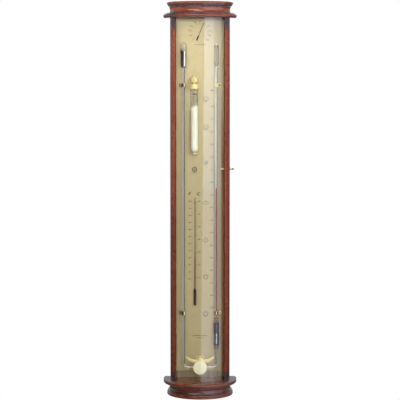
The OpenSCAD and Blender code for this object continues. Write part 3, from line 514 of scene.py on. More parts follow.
def moulding_shade(tree):
    """Painted shade: dark at the left end of the cornice, in the hollows where boards meet, on the lower half of
    the cap and along the cornice board's lower edge. The colour is also darker at both ends of the base."""
    side = axis_value(tree, "X")
    height = axis_value(tree, "Z")
    cap_low = low("cornice_cap").z
    board_top = high("cornice_board").z
    on_board = span(tree, height, board_top + MM, board_top - MM)
    # Painted shade at the left end of the cornice board
    left = maths(tree, "MULTIPLY", on_board, span(tree, side, *CORNICE_LEFT, 0.0, CORNICE_DEPTH))
    # Darker at both ends of the base
    ends = span(tree, maths(tree, "ABSOLUTE", side), STILE_IN, STILE_OUT + BASE_END, 0.0, BASE_END_DEPTH)
    low_ends = maths(tree, "MULTIPLY", ends, span(tree, height, CASE_TOP, CASE_FLOOR))
    left_high = maths(tree, "MULTIPLY", left, span(tree, height, CASE_FLOOR, CASE_TOP))
    shade = maths(tree, "MAXIMUM", left_high, low_ends)
    # Painted shade on the lower half of the cap
    above = span(tree, height, cap_low - CAP_FADE, cap_low)
    under = span(tree, height, cap_low + CAP_SHADE - CAP_FADE, cap_low + CAP_SHADE, HOLLOW_DEPTH, 0.0)
    shade = maths(tree, "MAXIMUM", shade, maths(tree, "MULTIPLY", above, under))
    # Painted shade in the hollows where boards meet and along the cornice board's lower edge
    edges = (
        (low("cornice_board").z, BOARD_SHADE), (board_top, HOLLOW_SHADE), (low("base_board").z, HOLLOW_SHADE),
        (high("base_foot").z, HOLLOW_SHADE),
    )
    for edge, reach in edges:
        away = maths(tree, "ABSOLUTE", maths(tree, "SUBTRACT", height, edge))
        shade = maths(tree, "MAXIMUM", shade, span(tree, away, 0.0, reach, HOLLOW_DEPTH, 0.0))
    return shade


def base_depth(tree):
    """Painted shade: the wood darkens from the top of the case down to the base."""
    return span(tree, axis_value(tree, "Z"), CASE_TOP, CASE_FLOOR, 0.0, BASE_DEPTH)


def board_shade(tree):
    """The back board's tone clouds a little."""
    cloud = use_group(tree, CLOUD, stretched(tree, (6, 6, 6)), "Cloud")
    return span(tree, cloud, 0.3, 0.8, 0.0, 0.12)


def raw_wood(name):
    """Bare pale dowel wood with its grain along the dowel."""
    material, tree, output = blank_material(name)
    figure = use_group(tree, GRAIN, stretched(tree, (400, 400, 30)), "Figure")
    colour = ramp(tree, figure, (0.3, paint(0.42, 0.26, 0.12)), (0.7, paint(0.62, 0.44, 0.24)))
    finish_with(tree, output, Base_Color=colour, Roughness=0.65, Normal=bumped(tree, figure, 0.2, 0.0003))
    return material


# Painted shadow of the right stile on the plate: its brown, how dark it gets, and where it lies across and down
SHADOW_BROWN = paint(0.40, 0.17, 0.075)
SHADOW_DEPTH = 0.9
SHADOW_SIDE = (56 * MM, 62 * MM)
SHADOW_DOWN = (-100 * MM, -350 * MM)


def plate_stain(tree):
    """Painted shadow of the right stile down the plate's right edge, below its top."""
    across = span(tree, axis_value(tree, "X"), *SHADOW_SIDE)
    down = span(tree, axis_value(tree, "Z"), *SHADOW_DOWN, 0.0, SHADOW_DEPTH)
    return maths(tree, "MULTIPLY", across, down)


def metal(name, dark, light, stretch, polish, metallic=1.0, shadow_mask=None):
    """Brushed or polished metal: tone and gloss vary with the scratches and with handling.
    The function given last, if any, gives where a shadow is painted into the colour."""
    material, tree, output = blank_material(name)
    streak = use_group(tree, BRUSH, stretched(tree, stretch), "Streak")
    cloud = use_group(tree, CLOUD, stretched(tree, (60, 60, 60)), "Cloud")
    tone = halfway(tree, streak, cloud)
    colour = ramp(tree, tone, (0.35, dark), (0.65, light))
    # Painted shadow, where a mask function is given
    if shadow_mask:
        colour = blend(tree, shadow_mask(tree), colour, SHADOW_BROWN)
    finish_with(
        tree, output, Base_Color=colour, Metallic=metallic, Roughness=span(tree, tone, 0.3, 0.7, *polish),
        Normal=bumped(tree, streak, 0.05, 0.0001),
    )
    return material


def clear(name, colour, ior, haze, shade):
    """Clear glass or liquid with faint handling marks. Light on its way to another surface goes straight,
    dimmed by the shade colour, because the curved walls throw part of it aside."""
    material, tree, output = blank_material(name)
    cloud = use_group(tree, CLOUD, stretched(tree, (40, 40, 12)), "Cloud")
    glass = node(
        tree, "BsdfPrincipled", Base_Color=colour, IOR=ior, Transmission_Weight=1.0,
        Roughness=span(tree, cloud, 0.45, 0.8, 0.0, haze),
    )
    passing = node(tree, "BsdfTransparent", Color=shade)
    path = node(tree, "LightPath")
    through = maths(tree, "MAXIMUM", path.outputs["Is Shadow Ray"], path.outputs["Is Diffuse Ray"])
    mix_shaders(tree, output, through, glass, passing)
    return material


POOL_FADE = 4 * MM


def liquid(name, deep, thin, gloss, pool=None, pool_top=None):
    """A coloured liquid seen against its glass: its tone drifts a little along the column.
    Below pool_top, where the tube is wide, it deepens to the pool colour."""
    material, tree, output = blank_material(name)
    cloud = use_group(tree, CLOUD, stretched(tree, (90, 90, 20)), "Cloud")
    colour = ramp(tree, cloud, (0.35, deep), (0.7, thin))
    if pool:
        depth = span(tree, axis_value(tree, "Z"), pool_top, pool_top - POOL_FADE)
        colour = blend(tree, depth, colour, pool)
    finish_with(tree, output, Base_Color=colour, Roughness=gloss)
    return material


def speckled(name, dark, light, size, rough, relief):
    """A surface of small grains: crystals, enamel, cork, felt or cotton."""
    material, tree, output = blank_material(name)
    grain = noise_value(tree, stretched(tree, (size, size, size)), 1.0, 5.0, roughness=0.65)
    colour = ramp(tree, grain, (0.35, dark), (0.62, light))
    finish_with(tree, output, Base_Color=colour, Roughness=rough, Normal=bumped(tree, grain, relief, 0.0006))
    return material


BRASS_DARK = paint(0.62, 0.48, 0.20)
BRASS_LIGHT = paint(0.90, 0.77, 0.44)

# The stiles' colour carries painted shade along its edges, and the mouldings' colour carries painted shade in the
# hollows and towards the base
uprights = lacquered_wood("mahogany_upright", MAHOGANY, (85, 85, 5), stile_edges, stile_shade, 0.15)
mouldings = lacquered_wood("mahogany_moulding", MAHOGANY, (5, 85, 85), base_depth, moulding_shade, 0.9)
backing = lacquered_wood("oak_board", PALE_OAK, (70, 70, 4), None, board_shade, 0.05)
ink = liquid("print_ink", paint(0.016, 0.013, 0.010), paint(0.035, 0.028, 0.020), 0.6)
gilt = metal(
    "satin_gilt", paint(0.90, 0.70, 0.26), paint(0.99, 0.86, 0.44), (300, 300, 300), (0.28, 0.45), 0.25,
)
# Gilt made paler and barely metallic for the set pointer and its rod: the paleness is painted highlight in place
# of the polished brass's reflections
highlight_gilt = metal(
    "highlight_gilt", paint(0.97, 0.89, 0.68), paint(1.0, 0.95, 0.80), (300, 300, 300), (0.25, 0.40), 0.1,
)
stem_glass = clear("stem_glass", paint(0.86, 0.84, 0.80), 1.47, 0.02, paint(0.88, 0.88, 0.88))

finishes = {
    "mahogany": mouldings,
    "dowel_wood": raw_wood("dowel_wood"),
    "bow_glass": clear("bow_glass", paint(0.99, 0.995, 0.985), 1.5, 0.02, paint(0.96, 0.97, 0.96)),
    "tube_glass": clear("tube_glass", paint(0.985, 0.985, 0.98), 1.47, 0.02, paint(0.93, 0.93, 0.93)),
    "storm_liquid": clear("storm_liquid", paint(0.985, 0.98, 0.965), 1.36, 0.02, paint(0.98, 0.98, 0.97)),
    # The plate's colour carries a painted shadow down its right edge
    "gilt_plate": metal(
        "gilt_plate", paint(0.530, 0.415, 0.200), paint(0.610, 0.485, 0.248), (900, 900, 14), (0.42, 0.54),
        0.25, plate_stain,
    ),
    "brass": metal("polished_brass", BRASS_DARK, BRASS_LIGHT, (700, 700, 60), (0.12, 0.22)),
    "mercury": metal("mercury", paint(0.68, 0.65, 0.59), paint(0.82, 0.79, 0.72), (30, 30, 30), (0.03, 0.06)),
    "red_liquid": liquid(
        "red_liquid", paint(0.40, 0.010, 0.008), paint(0.55, 0.024, 0.018), 0.12,
        paint(0.045, 0.010, 0.013), CISTERN_TOP,
    ),
    "spirit": liquid(
        "spirit", paint(0.20, 0.016, 0.012), paint(0.30, 0.030, 0.022), 0.12,
        paint(0.050, 0.007, 0.006), BULB_TOP,
    ),
    "crystals": speckled("crystals", paint(0.97, 0.88, 0.62), paint(0.99, 0.93, 0.73), 420, 0.55, 0.5),
    "cream_enamel": speckled("cream_enamel", paint(1.0, 0.90, 0.54), paint(1.0, 0.96, 0.66), 260, 0.3, 0.12),
    "felt": speckled("felt", paint(0.36, 0.29, 0.17), paint(0.55, 0.46, 0.30), 2500, 0.95, 0.8),
    "steel": metal(
        "turned_steel", paint(0.40, 0.40, 0.41), paint(0.62, 0.62, 0.62), (800, 60, 800), (0.22, 0.36),
    ),
    "blued_steel": metal(
        "blued_steel", paint(0.012, 0.012, 0.016), paint(0.030, 0.030, 0.040), (600, 600, 600), (0.25, 0.40),
        0.6,
    ),
    "drum_tin": metal(
        "drum_tin", paint(0.30, 0.27, 0.22), paint(0.46, 0.42, 0.35), (500, 60, 500), (0.40, 0.55), 0.7,
    ),
    "coil_strip": speckled("coil_strip", paint(0.50, 0.40, 0.24), paint(0.66, 0.56, 0.38), 900, 0.8, 0.4),
    "cotton": speckled("cotton", paint(0.72, 0.69, 0.62), paint(0.88, 0.86, 0.80), 1800, 0.95, 1.0),
}

# Nodes whose finish isn't that of their slot
own_finish = {
    "left_stile": uprights, "right_stile": uprights, "back_board": backing,
    "storm_rest": gilt, "storm_bracket": gilt, "hygrometer_bush": finishes["gilt_plate"],
    # The set pointer and its rod take the gilt with painted highlight
    "bow_screws": gilt, "medallion_pin": gilt, "marker_pointer": highlight_gilt, "marker_rod": highlight_gilt,
    "thermometer_tube": stem_glass, "upper_right_clip": gilt,
}
for sub in frame["record"]["subparts"]:
    name = sub["node"]
    frame["nodes"][name].material_slots[0].material = own_finish.get(name, finishes[sub["material_slot"]])


# Bow glass: a bent pane of even thickness

GLASS_T = 3 * MM


def bent_pane(edge_x, outer_r, inner_r, z0, z1, steps=96):
    """An upright pane bent to an arc in plan: outer arc there and inner arc back, carried from z0 to z1.
    Each arc point is (r sin a, axis - r cos a), with both arcs cut at the same edge_x."""
    share = np.linspace(-1, 1, steps + 1)
    arcs = []
    for r, way in ((outer_r, share), (inner_r, share[::-1])):
        turn = way * math.asin(edge_x / r)
        arcs.append(np.stack([r * np.sin(turn), BOW_AXIS_Y - r * np.cos(turn)], axis=-1))
    loop = np.concatenate(arcs)
    rings = np.stack([np.insert(loop, 2, z, axis=1) for z in (z0, z1)])
    count = len(loop)
    first = np.arange(steps)
    cap = np.stack([first, first + 1, count - 2 - first, count - 1 - first], axis=-1)
    faces = np.concatenate([grid_faces(2, count), triangles(cap), triangles(cap[:, ::-1] + count)])
    return rings.reshape(-1, 3), faces


glass_r = BOW_AXIS_Y - low("bow_glass").y
pane = bent_pane(high("bow_glass").x, glass_r, glass_r - GLASS_T, low("bow_glass").z, high("bow_glass").z)
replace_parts(make_piece("bow_glass_pane", pane, finishes["bow_glass"]), "bow_glass")


# Liquids in the glass tubes

# Radii as drawn. The mercury thread is wider than its bore and the red thread narrower, because the tube's
# wall then shows both as wide as the photograph does.
VACUUM_R = 7.3 * MM
LIMB_R = 2.0 * MM
BEND_R = 1.8 * MM
READING_R = 1.2 * MM
CISTERN_R = 6.8 * MM
CONTACT = 0.02 * MM
VACUUM_SHOULDER = 3 * MM
VACUUM_LENGTH = 69 * MM
VACUUM_HEADROOM = 22 * MM
BEND_DROP = 1.2 * MM
BEND_CORNER = 11 * MM
TAPER = 8 * MM
MENISCUS = 1.6 * MM
EASE = 0.3 * MM
UP = math.pi / 2

mercury_top = high("mercury").z
bend_z = low("mercury").z + BEND_DROP
limb_z = bend_z + BEND_CORNER
vacuum_foot = mercury_top + VACUUM_HEADROOM - VACUUM_LENGTH


def eased(stops):
    """A (radius, height) profile with an extra ring close to both ends of each stretch, so that the smooth
    shading stays straight between them."""
    rings = []
    for start, end in zip(np.array(stops[:-1]), np.array(stops[1:])):
        share = min(0.3, EASE / np.linalg.norm(end - start))
        rings += [tuple(start + t * (end - start)) for t in (0, share, 1 - share)]
    return [*rings, stops[-1]]


def mercury_column():
    """One tube from the upper level, down the left limb, round the bend and up into the cistern.
    The upper level is a dome: the radius grows as the sine while the height falls as the cosine."""
    dome = np.linspace(0, UP, 9)
    corner = np.linspace(0, UP, 13)
    run = TUBE_X - BEND_CORNER
    left_r, left_z = np.array(eased([
        (VACUUM_R, mercury_top - MENISCUS), (VACUUM_R, vacuum_foot + VACUUM_SHOULDER), (LIMB_R, vacuum_foot),
        (LIMB_R, limb_z + TAPER), (BEND_R, limb_z),
    ])).T
    right_r, right_z = np.array(eased([
        (BEND_R, limb_z), (BEND_R, CISTERN_FOOT), (CISTERN_R, CISTERN_FOOT + TAPER),
        (CISTERN_R, CISTERN_LEVEL), (0, CISTERN_LEVEL),
    ])).T
    bend_r = 0 * corner + BEND_R
    dome_z = mercury_top - MENISCUS * (1 - np.cos(dome))
    stretches = [
        (0 * dome - TUBE_X, dome_z, 0 * dome - UP, VACUUM_R * np.sin(dome)),
        (0 * left_z - TUBE_X, left_z, 0 * left_z - UP, left_r),
        (-run - BEND_CORNER * np.cos(corner), limb_z - BEND_CORNER * np.sin(corner), corner - UP, bend_r),
        (run + BEND_CORNER * np.sin(corner), limb_z - BEND_CORNER * np.cos(corner), corner, bend_r),
        (0 * right_z + TUBE_X, right_z, 0 * right_z + UP, right_r),
    ]
    x, z, heading, radius = (np.concatenate(values) for values in zip(*stretches))
    return sweep(x, z, heading, np.where(radius > 0, radius + CONTACT, 0), TUBE_Y)


def column(profile, x, y):
    """A turned liquid from a (radius, height) profile, a hair wider than given and closed at both ends."""
    wider = [(r + CONTACT, h) for r, h in profile]
    return lathe(eased([(0, profile[0][1]), *wider, (0, profile[-1][1])]), x, y, steps=40)


# Colours of the narrow mercury: a painted highlight and painted shade on the two sides of the left limb, a painted
# highlight on the bend; the right stub and the pool are grey
LIMB_HIGHLIGHT = paint(0.78, 0.73, 0.62)
LIMB_SHADE = paint(0.15, 0.145, 0.13)
STUB_TONE = paint(0.42, 0.38, 0.33)
BEND_HIGHLIGHT = paint(0.95, 0.86, 0.78)
POOL_TONE = paint(0.46, 0.48, 0.46)
LIMB_SPLIT = (-0.3 * MM, 0.5 * MM)
RIGHT_LIMB = 10 * MM
TONE_FADE = 2 * MM
BEND_FADE = 3 * MM


def quicksilver(name):
    """Liquid metal, mirror bright in the upper chamber and dimmer in the cistern. In the narrow left limb one side
    has a painted highlight and the other painted shade, the bend has a pale painted highlight and the short right
    limb is grey."""
    material, tree, output = blank_material(name)
    cloud = use_group(tree, CLOUD, stretched(tree, (30, 30, 30)), "Cloud")
    wide = ramp(tree, cloud, (0.35, paint(0.80, 0.72, 0.58)), (0.65, paint(0.93, 0.84, 0.68)))
    height = axis_value(tree, "Z")
    side = axis_value(tree, "X")
    below = span(tree, height, vacuum_foot + MM, vacuum_foot - TONE_FADE)
    left = span(tree, side, TUBE_X - RIGHT_LIMB - TONE_FADE, TUBE_X - RIGHT_LIMB, 1.0, 0.0)
    low_down = span(tree, height, CISTERN_FOOT - TONE_FADE, CISTERN_FOOT - 2 * TONE_FADE)
    narrow = maths(tree, "MULTIPLY", below, maths(tree, "MAXIMUM", left, low_down))
    pool = blend(tree, below, wide, POOL_TONE)
    # Painted highlight on the left side of the left limb, painted shade on its right
    split = span(tree, side, LIMB_SPLIT[0] - TUBE_X, LIMB_SPLIT[1] - TUBE_X)
    limbs = blend(tree, left, STUB_TONE, blend(tree, split, LIMB_HIGHLIGHT, LIMB_SHADE))
    # Painted highlight along the bend
    thread = blend(tree, span(tree, height, limb_z, bend_z + BEND_FADE), limbs, BEND_HIGHLIGHT)
    # The narrow parts are barely metallic, so their painted colours show
    finish_with(
        tree, output, Base_Color=blend(tree, narrow, pool, thread),
        Metallic=span(tree, narrow, 0.0, 1.0, 1.0, 0.15), Roughness=span(tree, cloud, 0.3, 0.7, 0.03, 0.08),
    )
    return material


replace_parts(make_piece("mercury_column", mercury_column(), quicksilver("quicksilver")), "mercury")

reading_level = high("red_liquid").z
red = column([
    (CISTERN_R, CISTERN_LEVEL), (CISTERN_R, CISTERN_TOP - TAPER), (READING_R, CISTERN_TOP),
    (READING_R, reading_level),
], TUBE_X, TUBE_Y)
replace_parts(make_piece("red_column", red, finishes["red_liquid"]), "red_liquid")

BAND_LEFT = 1.9 * MM
BAND_RIGHT = 1.1 * MM
BAND_DEPTH = 2.2 * MM
BAND_T = 0.3 * MM
BAND_RISE = 338 * MM
band = box(
    (TUBE_X - BAND_LEFT, TUBE_Y + BAND_DEPTH, CISTERN_TOP + TAPER),
    (TUBE_X + BAND_RIGHT, TUBE_Y + BAND_DEPTH + BAND_T, reading_level + BAND_RISE),
)
milk_glass = speckled("milk_glass", paint(0.95, 0.88, 0.72), paint(1.0, 0.95, 0.82), 300, 0.4, 0.05)
make_piece("enamel_band", band, milk_glass)

BULB_R = 3.35 * MM
BULB_OUTER = 4.25 * MM
STEM_R = 0.9 * MM
thermo = middle("thermometer_tube")
spirit_level = high("thermometer_spirit").z
round_end = np.linspace(0.2, math.pi / 2, 8)
spirit = column([
    *zip(BULB_R * np.sin(round_end), BULB_FOOT + BULB_OUTER - BULB_R * np.cos(round_end)),
    (BULB_R, BULB_TOP - BULB_OUTER), (STEM_R, BULB_TOP), (STEM_R, spirit_level),
], thermo.x, thermo.y)
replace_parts(make_piece("spirit_column", spirit, finishes["spirit"]), "thermometer_spirit")


# Storm glass: packed crystals with an uneven top and fine needles growing from it

CRYSTAL_BORE = 9.57 * MM
CRYSTAL_RISE = 7 * MM
NEEDLES = 90
NEEDLE_SIDES = 5
storm = middle("storm_crystals")
crystal_top = high("storm_crystals").z
crystal_foot = low("storm_crystals").z


def crystal_height(radius, turn):
    """Height of the crystals' top above its mean: a slope across the glass and overlapping ripples."""
    x = radius * np.cos(turn)
    y = radius * np.sin(turn)
    slope = 0.45 * x / CRYSTAL_BORE
    ripples = 0.30 * np.sin(900 * x + 2) * np.cos(700 * y) + 0.25 * np.sin(1700 * x - 1300 * y)
    return CRYSTAL_RISE * (slope + ripples)


def crystal_mass():
    """Rings up the glass's round foot and wall to the crystals' top, then inward over that uneven top."""
    steps = 72
    turn = full_turn(steps)
    foot = np.linspace(0, math.pi / 2, 12)
    inward = np.linspace(1, 0, 14)
    wall = np.linspace(0, 1, 40)
    dome_z = crystal_foot + CRYSTAL_BORE
    rim = crystal_top + crystal_height(CRYSTAL_BORE, turn)
    radius = CRYSTAL_BORE * np.concatenate([np.sin(foot), 0 * wall + 1, inward])[:, None]
    lower = (dome_z - CRYSTAL_BORE * np.cos(foot))[:, None] + 0 * turn
    upright = dome_z + wall[:, None] * (rim - dome_z)
    upper = crystal_top + crystal_height(CRYSTAL_BORE * inward[:, None], turn)
    height = np.concatenate([lower, upright, upper])
    points = np.stack([storm.x + radius * np.cos(turn), storm.y + radius * np.sin(turn), height], axis=-1)
    return points.reshape(-1, 3), grid_faces(len(height), steps)


def crystal_needles():
    """Thin five-sided spikes, 3 to 12 mm long: a ring at the foot and a point at the tip, leaning at seeded
    angles and kept inside the glass."""
    draw = np.random.default_rng(7)
    radius = CRYSTAL_BORE * 0.9 * np.sqrt(draw.random(NEEDLES))
    turn = draw.random(NEEDLES) * 2 * math.pi
    length = (3 + 9 * draw.random(NEEDLES) ** 2) * MM
    thick = (0.35 + 0.4 * draw.random(NEEDLES)) * MM
    lean = (draw.random((NEEDLES, 2)) - 0.5) * 0.5
    sunk = crystal_height(radius, turn) - MM
    foot = np.stack([radius * np.cos(turn), radius * np.sin(turn), sunk], axis=-1)
    tip = foot + length[:, None] * np.concatenate([lean, np.ones((NEEDLES, 1))], axis=1)
    reach = np.linalg.norm(tip[:, :2], axis=1)
    tip[:, :2] *= np.minimum(1, 0.95 * CRYSTAL_BORE / reach)[:, None]
    around = full_turn(NEEDLE_SIDES)
    ring = np.stack([np.cos(around), np.sin(around), 0 * around], axis=-1)
    foot, tip, thick = foot[:, None], tip[:, None], thick[:, None, None]
    rings = np.stack([foot + 0 * ring, foot + ring * thick, tip + 0 * ring], axis=1)
    points = rings.reshape(-1, 3) + (storm.x, storm.y, crystal_top)
    faces = grid_faces(3, NEEDLE_SIDES)[None] + (np.arange(NEEDLES) * 3 * NEEDLE_SIDES)[:, None, None]
    return points, faces.reshape(-1, 3)


mass = make_piece("crystal_mass", join([crystal_mass(), crystal_needles()]), finishes["crystals"])
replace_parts(mass, "storm_crystals")


# Storm glass cap: a turned flange, a neck, a fluted crown under a rounded rim, and a ball

CAP_STEPS = 80
CAP_FLUTES = 10
CAP_FLUTE = 1.5 * MM
CROWN_FOOT = 14.5 * MM
CROWN_TOP = 23.5 * MM
CROWN_INNER = 9 * MM
cap_foot = low("storm_cap").z


def bead(r, swell, start, end, steps=9):
    """A rounded edge of a profile: radius r + swell cos a, height from start to end as sin a."""
    turn = np.linspace(-math.pi / 2, math.pi / 2, steps)
    return np.stack([r + swell * np.cos(turn), (start + end) / 2 + (end - start) / 2 * np.sin(turn)], axis=-1)


def turned_cap():
    """Rings of a turned profile in mm above the cap's foot. Within the crown each ring is drawn in by
    flute * (1 + cos n a) / 2 at angle a."""
    crown = np.stack([np.full(9, 9.2), np.linspace(14.6, 23.4, 9)], axis=-1)
    profile = np.concatenate([
        [(0, 4), (10.8, 4), (10.8, 0)], bead(11.0, 1.35, 0, 7),
        [(10.4, 7.4), (4.2, 8.0), (3.2, 9.0), (3.2, 12.8), (4.0, 13.6)], bead(8.0, 1.2, 13.7, 14.6, 5), crown,
        bead(8.6, 1.2, 23.4, 26.4), [(5.0, 27.0), (1.5, 27.5), (1.3, 27.7)], bead(0, 2.6, 27.3, 32.5, 13)[2:],
    ]) * MM
    radius, height = profile.T
    in_crown = (height > CROWN_FOOT) & (height < CROWN_TOP) & (radius > CROWN_INNER)
    rings = rings_upright(radius, height + cap_foot, 0, 0, CAP_STEPS)
    drawn = CAP_FLUTE * in_crown[:, None] * (1 + np.cos(CAP_FLUTES * full_turn(CAP_STEPS))) / 2
    share = 1 - drawn / np.maximum(radius[:, None], MM)
    rings[..., 0] = storm.x + rings[..., 0] * share
    rings[..., 1] = storm.y + rings[..., 1] * share
    return rings.reshape(-1, 3), grid_faces(len(profile), CAP_STEPS)


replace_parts(make_piece("turned_cap", turned_cap(), gilt), "storm_cap")

CORK_R = 9.3 * MM
cork_low = cap_foot - 3 * MM
cork_top = cap_foot + 3.8 * MM
cork_profile = [
    (0, cork_low), (CORK_R - MM, cork_low), (CORK_R, cork_low + MM), (CORK_R, cork_top), (0, cork_top),
]
cork_grain = speckled("cork", paint(0.62, 0.50, 0.32), paint(0.86, 0.76, 0.56), 700, 0.8, 0.4)
make_piece("storm_cork", lathe(cork_profile, storm.x, storm.y), cork_grain)


# Gilt bow: feathered wings from a knot with two loops

BOW_SPAN = high("gilt_bow").x
BOW_LIFT = 8 * MM
BOW_DIP = 6 * MM
WING_HALF = 5.5 * MM
WING_END = 2.6 * MM
WING_EDGE = 0.35
FEATHERS = 5
FEATHER_RIPPLE = 0.14
FEATHER_SLANT = 1.1
KNOT_R = 6 * MM
LOOP_R = 4.6 * MM
LOOP_WIRE = 1.0 * MM
bow_back = high("gilt_bow").y
bow_thick = bow_back - low("gilt_bow").y


def bow_wings():
    """Along t from -1 to 1 the middle lifts as t squared less a sine dip, and the half-width swells as a
    sine. Across s from -1 to 1 the front is an arch with a feather ripple; the back is flat."""
    t = np.linspace(-1, 1, 121)[:, None]
    s = np.linspace(-1, 1, 17)[None, :]
    half = WING_END + (WING_HALF - WING_END) * np.sin(math.pi * np.abs(t) ** 1.2)
    centre = BOW_Z + BOW_LIFT * t ** 2 - BOW_DIP * np.sin(math.pi * np.abs(t))
    arch = WING_EDGE + (1 - WING_EDGE) * np.sqrt(np.clip(1 - s ** 2, 0, 1))
    phase = FEATHERS * np.abs(t) - FEATHER_SLANT * np.abs(s)
    ripple = FEATHER_RIPPLE * (1 + np.cos(2 * math.pi * phase))
    x = BOW_SPAN * t + 0 * s
    z = centre + half * s
    front = np.stack([x, bow_back - bow_thick * np.clip(arch - ripple, 0.1, 1), z], axis=-1)
    back = np.stack([x, 0 * z + bow_back, z], axis=-1)[:, ::-1]
    rings = close_ends(np.concatenate([front, back], axis=1))
    return rings.reshape(-1, 3), grid_faces(len(rings), rings.shape[1])


def knot():
    """A low dome: the front falls from the middle as the square of the radius."""
    r = np.linspace(0, 1, 9)
    front = list(zip(KNOT_R * r, bow_back - bow_thick * (1 - 0.6 * r ** 2)))
    return dish([*front, (KNOT_R, bow_back), (0, bow_back)], 0, BOW_Z)


loop_y = bow_back - bow_thick / 2
loop_z = BOW_Z + KNOT_R
loops = [torus(side * LOOP_R, loop_y, loop_z, LOOP_R, LOOP_WIRE) for side in (-1, 1)]
bow = make_piece("feathered_bow", join([bow_wings(), knot(), *loops]), gilt)
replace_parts(bow, "gilt_bow")


# Medallion: a shallow enamel dome inside a bead, on the front of the hanging disc

MEDAL_R = high("medallion").x
MEDAL_DOME = 0.9 * MM
BEAD_R = 0.8 * MM
DOME_SINK = 0.1 * MM
medal_z = low("medallion").z + MEDAL_R
medal_front = low("medallion").y
dome_r = MEDAL_R - 2 * BEAD_R
dome_back = medal_front + DOME_SINK
dome_share = np.linspace(0, 1, 16)
dome_profile = np.stack([dome_r * dome_share, medal_front - MEDAL_DOME * (1 - dome_share ** 2)], axis=-1)
medal_dome = dish([*dome_profile, (dome_r, dome_back), (0, dome_back)], 0, medal_z, steps=96)
medal_bead = torus(0, medal_front, medal_z, MEDAL_R - BEAD_R, BEAD_R, steps=96)
make_piece("medallion_dome", medal_dome, finishes["cream_enamel"], body="medallion")
make_piece("medallion_bead", medal_bead, finishes["cream_enamel"], body="medallion")


# Hygrometer dial

DIAL_SPAN = math.radians(274)
DIAL_NUMBER_R = 29.5 * MM
DIAL_NUMBER = 5.6 * MM
DIAL_TICK_R = 25.5 * MM


def ticked(long, big, small):
    """A measure in mm that is big at the long ticks and small at the others."""
    return np.where(long, big, small) * MM


def dial_print():
    """Ticks every 2 per cent on an arc of 274 degrees, longer at the tens, with upright numbers outside."""
    share = np.linspace(0, 1, 51)
    turn = math.pi / 2 - (share - 0.5) * DIAL_SPAN
    tens = np.arange(51) % 5 == 0
    length = ticked(tens, 3.4, 1.6)
    r = DIAL_TICK_R - length / 2
    marks = [bars(r * np.cos(turn), DIAL_Z + r * np.sin(turn), turn, length, ticked(tens, 0.9, 0.35))]
    for number, angle in zip(range(0, 101, 10), turn[tens]):
        x = DIAL_NUMBER_R * np.cos(angle)
        z = DIAL_Z + DIAL_NUMBER_R * np.sin(angle)
        marks.append(lettering(str(number), x, z, DIAL_NUMBER, weight=0.05 * MM))
    return join(marks)


# Pressure scale, with the larger values lower because the reading limb falls as pressure rises

PRESSURE_TOP_Z = CASE_TOP - 245.5 * MM
PRESSURE_STEP = 35.46 * MM
PRESSURES = range(970, 1051, 5)
PRESSURE_LINE_X = 39.6 * MM
PRESSURE_LINE = 0.8 * MM
LINE_OVERRUN = 12 * MM
UNIT_X = 34.0 * MM
UNIT_RISE = 44 * MM
UNIT_SIZE = 6.0 * MM
NUMBER_SIZE = 4.8 * MM
NUMBER_GAP = 3.6 * MM


def pressure_print():
    """A fine upright line with a tick each hectopascal, a longer tick and a number each five."""
    count = 5 * (len(PRESSURES) - 1) + 1
    fives = np.arange(count) % 5 == 0
    z = PRESSURE_TOP_Z - np.arange(count) * PRESSURE_STEP / 5
    length = ticked(fives, 3.0, 1.6)
    marks = [
        bars(PRESSURE_LINE_X - length / 2, z, 0.0, length, ticked(fives, 0.7, 0.35)),
        bars(PRESSURE_LINE_X, (z[0] + z[-1]) / 2, 0.0, PRESSURE_LINE, z[0] - z[-1] + LINE_OVERRUN),
        lettering("hPa", UNIT_X, PRESSURE_TOP_Z + UNIT_RISE, UNIT_SIZE),
    ]
    for value, place in zip(PRESSURES, z[fives]):
        x = PRESSURE_LINE_X - NUMBER_GAP
        marks.append(lettering(str(value), x, place, NUMBER_SIZE, "RIGHT", 0.06 * MM))
    return join(marks)


# Thermometer scales on both sides of the stem

CELSIUS_ZERO_Z = CASE_FLOOR + 287.2 * MM
DEGREE = 3.59 * MM
CELSIUS_GAP = 1.2 * MM
FAHRENHEIT_GAP = 4.4 * MM
LETTER_RISE = 236 * MM
LETTER_SIZE = 12 * MM
DEGREE_NUMBER = 8.0 * MM
STEM_OUTER = 3.25 * MM


def thermometer_print():
    """Celsius ticks and tens right of the stem, Fahrenheit left of it, with a unit letter over each."""
    marks = []
    # Side, degrees, one of them in Celsius, where it is 0 Celsius, letter and its place, gap beside the stem
    scales = (
        (1, np.arange(-5, 61), 1.0, 0.0, "C", 8.6 * MM, CELSIUS_GAP),
        (-1, np.arange(26, 141, 2), 1 / 1.8, 32.0, "F", -16.5 * MM, FAHRENHEIT_GAP),
    )
    for side, degrees, unit, zero, letter, letter_x, gap in scales:
        z = CELSIUS_ZERO_Z + (degrees - zero) * unit * DEGREE
        long = degrees % 10 == 0
        length = ticked(long, 4.0, 2.4)
        edge = thermo.x + side * (STEM_OUTER + gap)
        marks.append(bars(edge + side * length / 2, z, 0.0, length, ticked(long, 0.8, 0.45)))
        for degree, place in zip(degrees[long], z[long]):
            marks.append(lettering(str(degree), edge + side * DEGREE_NUMBER, place, NUMBER_SIZE))
        top = CELSIUS_ZERO_Z + LETTER_RISE
        marks.append(lettering(letter, thermo.x + letter_x, top, LETTER_SIZE, weight=0.35 * MM, slant=0.3))
    return join(marks)


# Weather signs beside the pressure scale, from storm at the top to set fair at the foot

SIGN_X = 16 * MM
SIGN_R = 7.2 * MM
SIGN_LINE = 1.2 * MM
# Drops below the top of the case, in mm
SIGN_DROPS = (225, 303, 404, 516, 621, 725, 830)


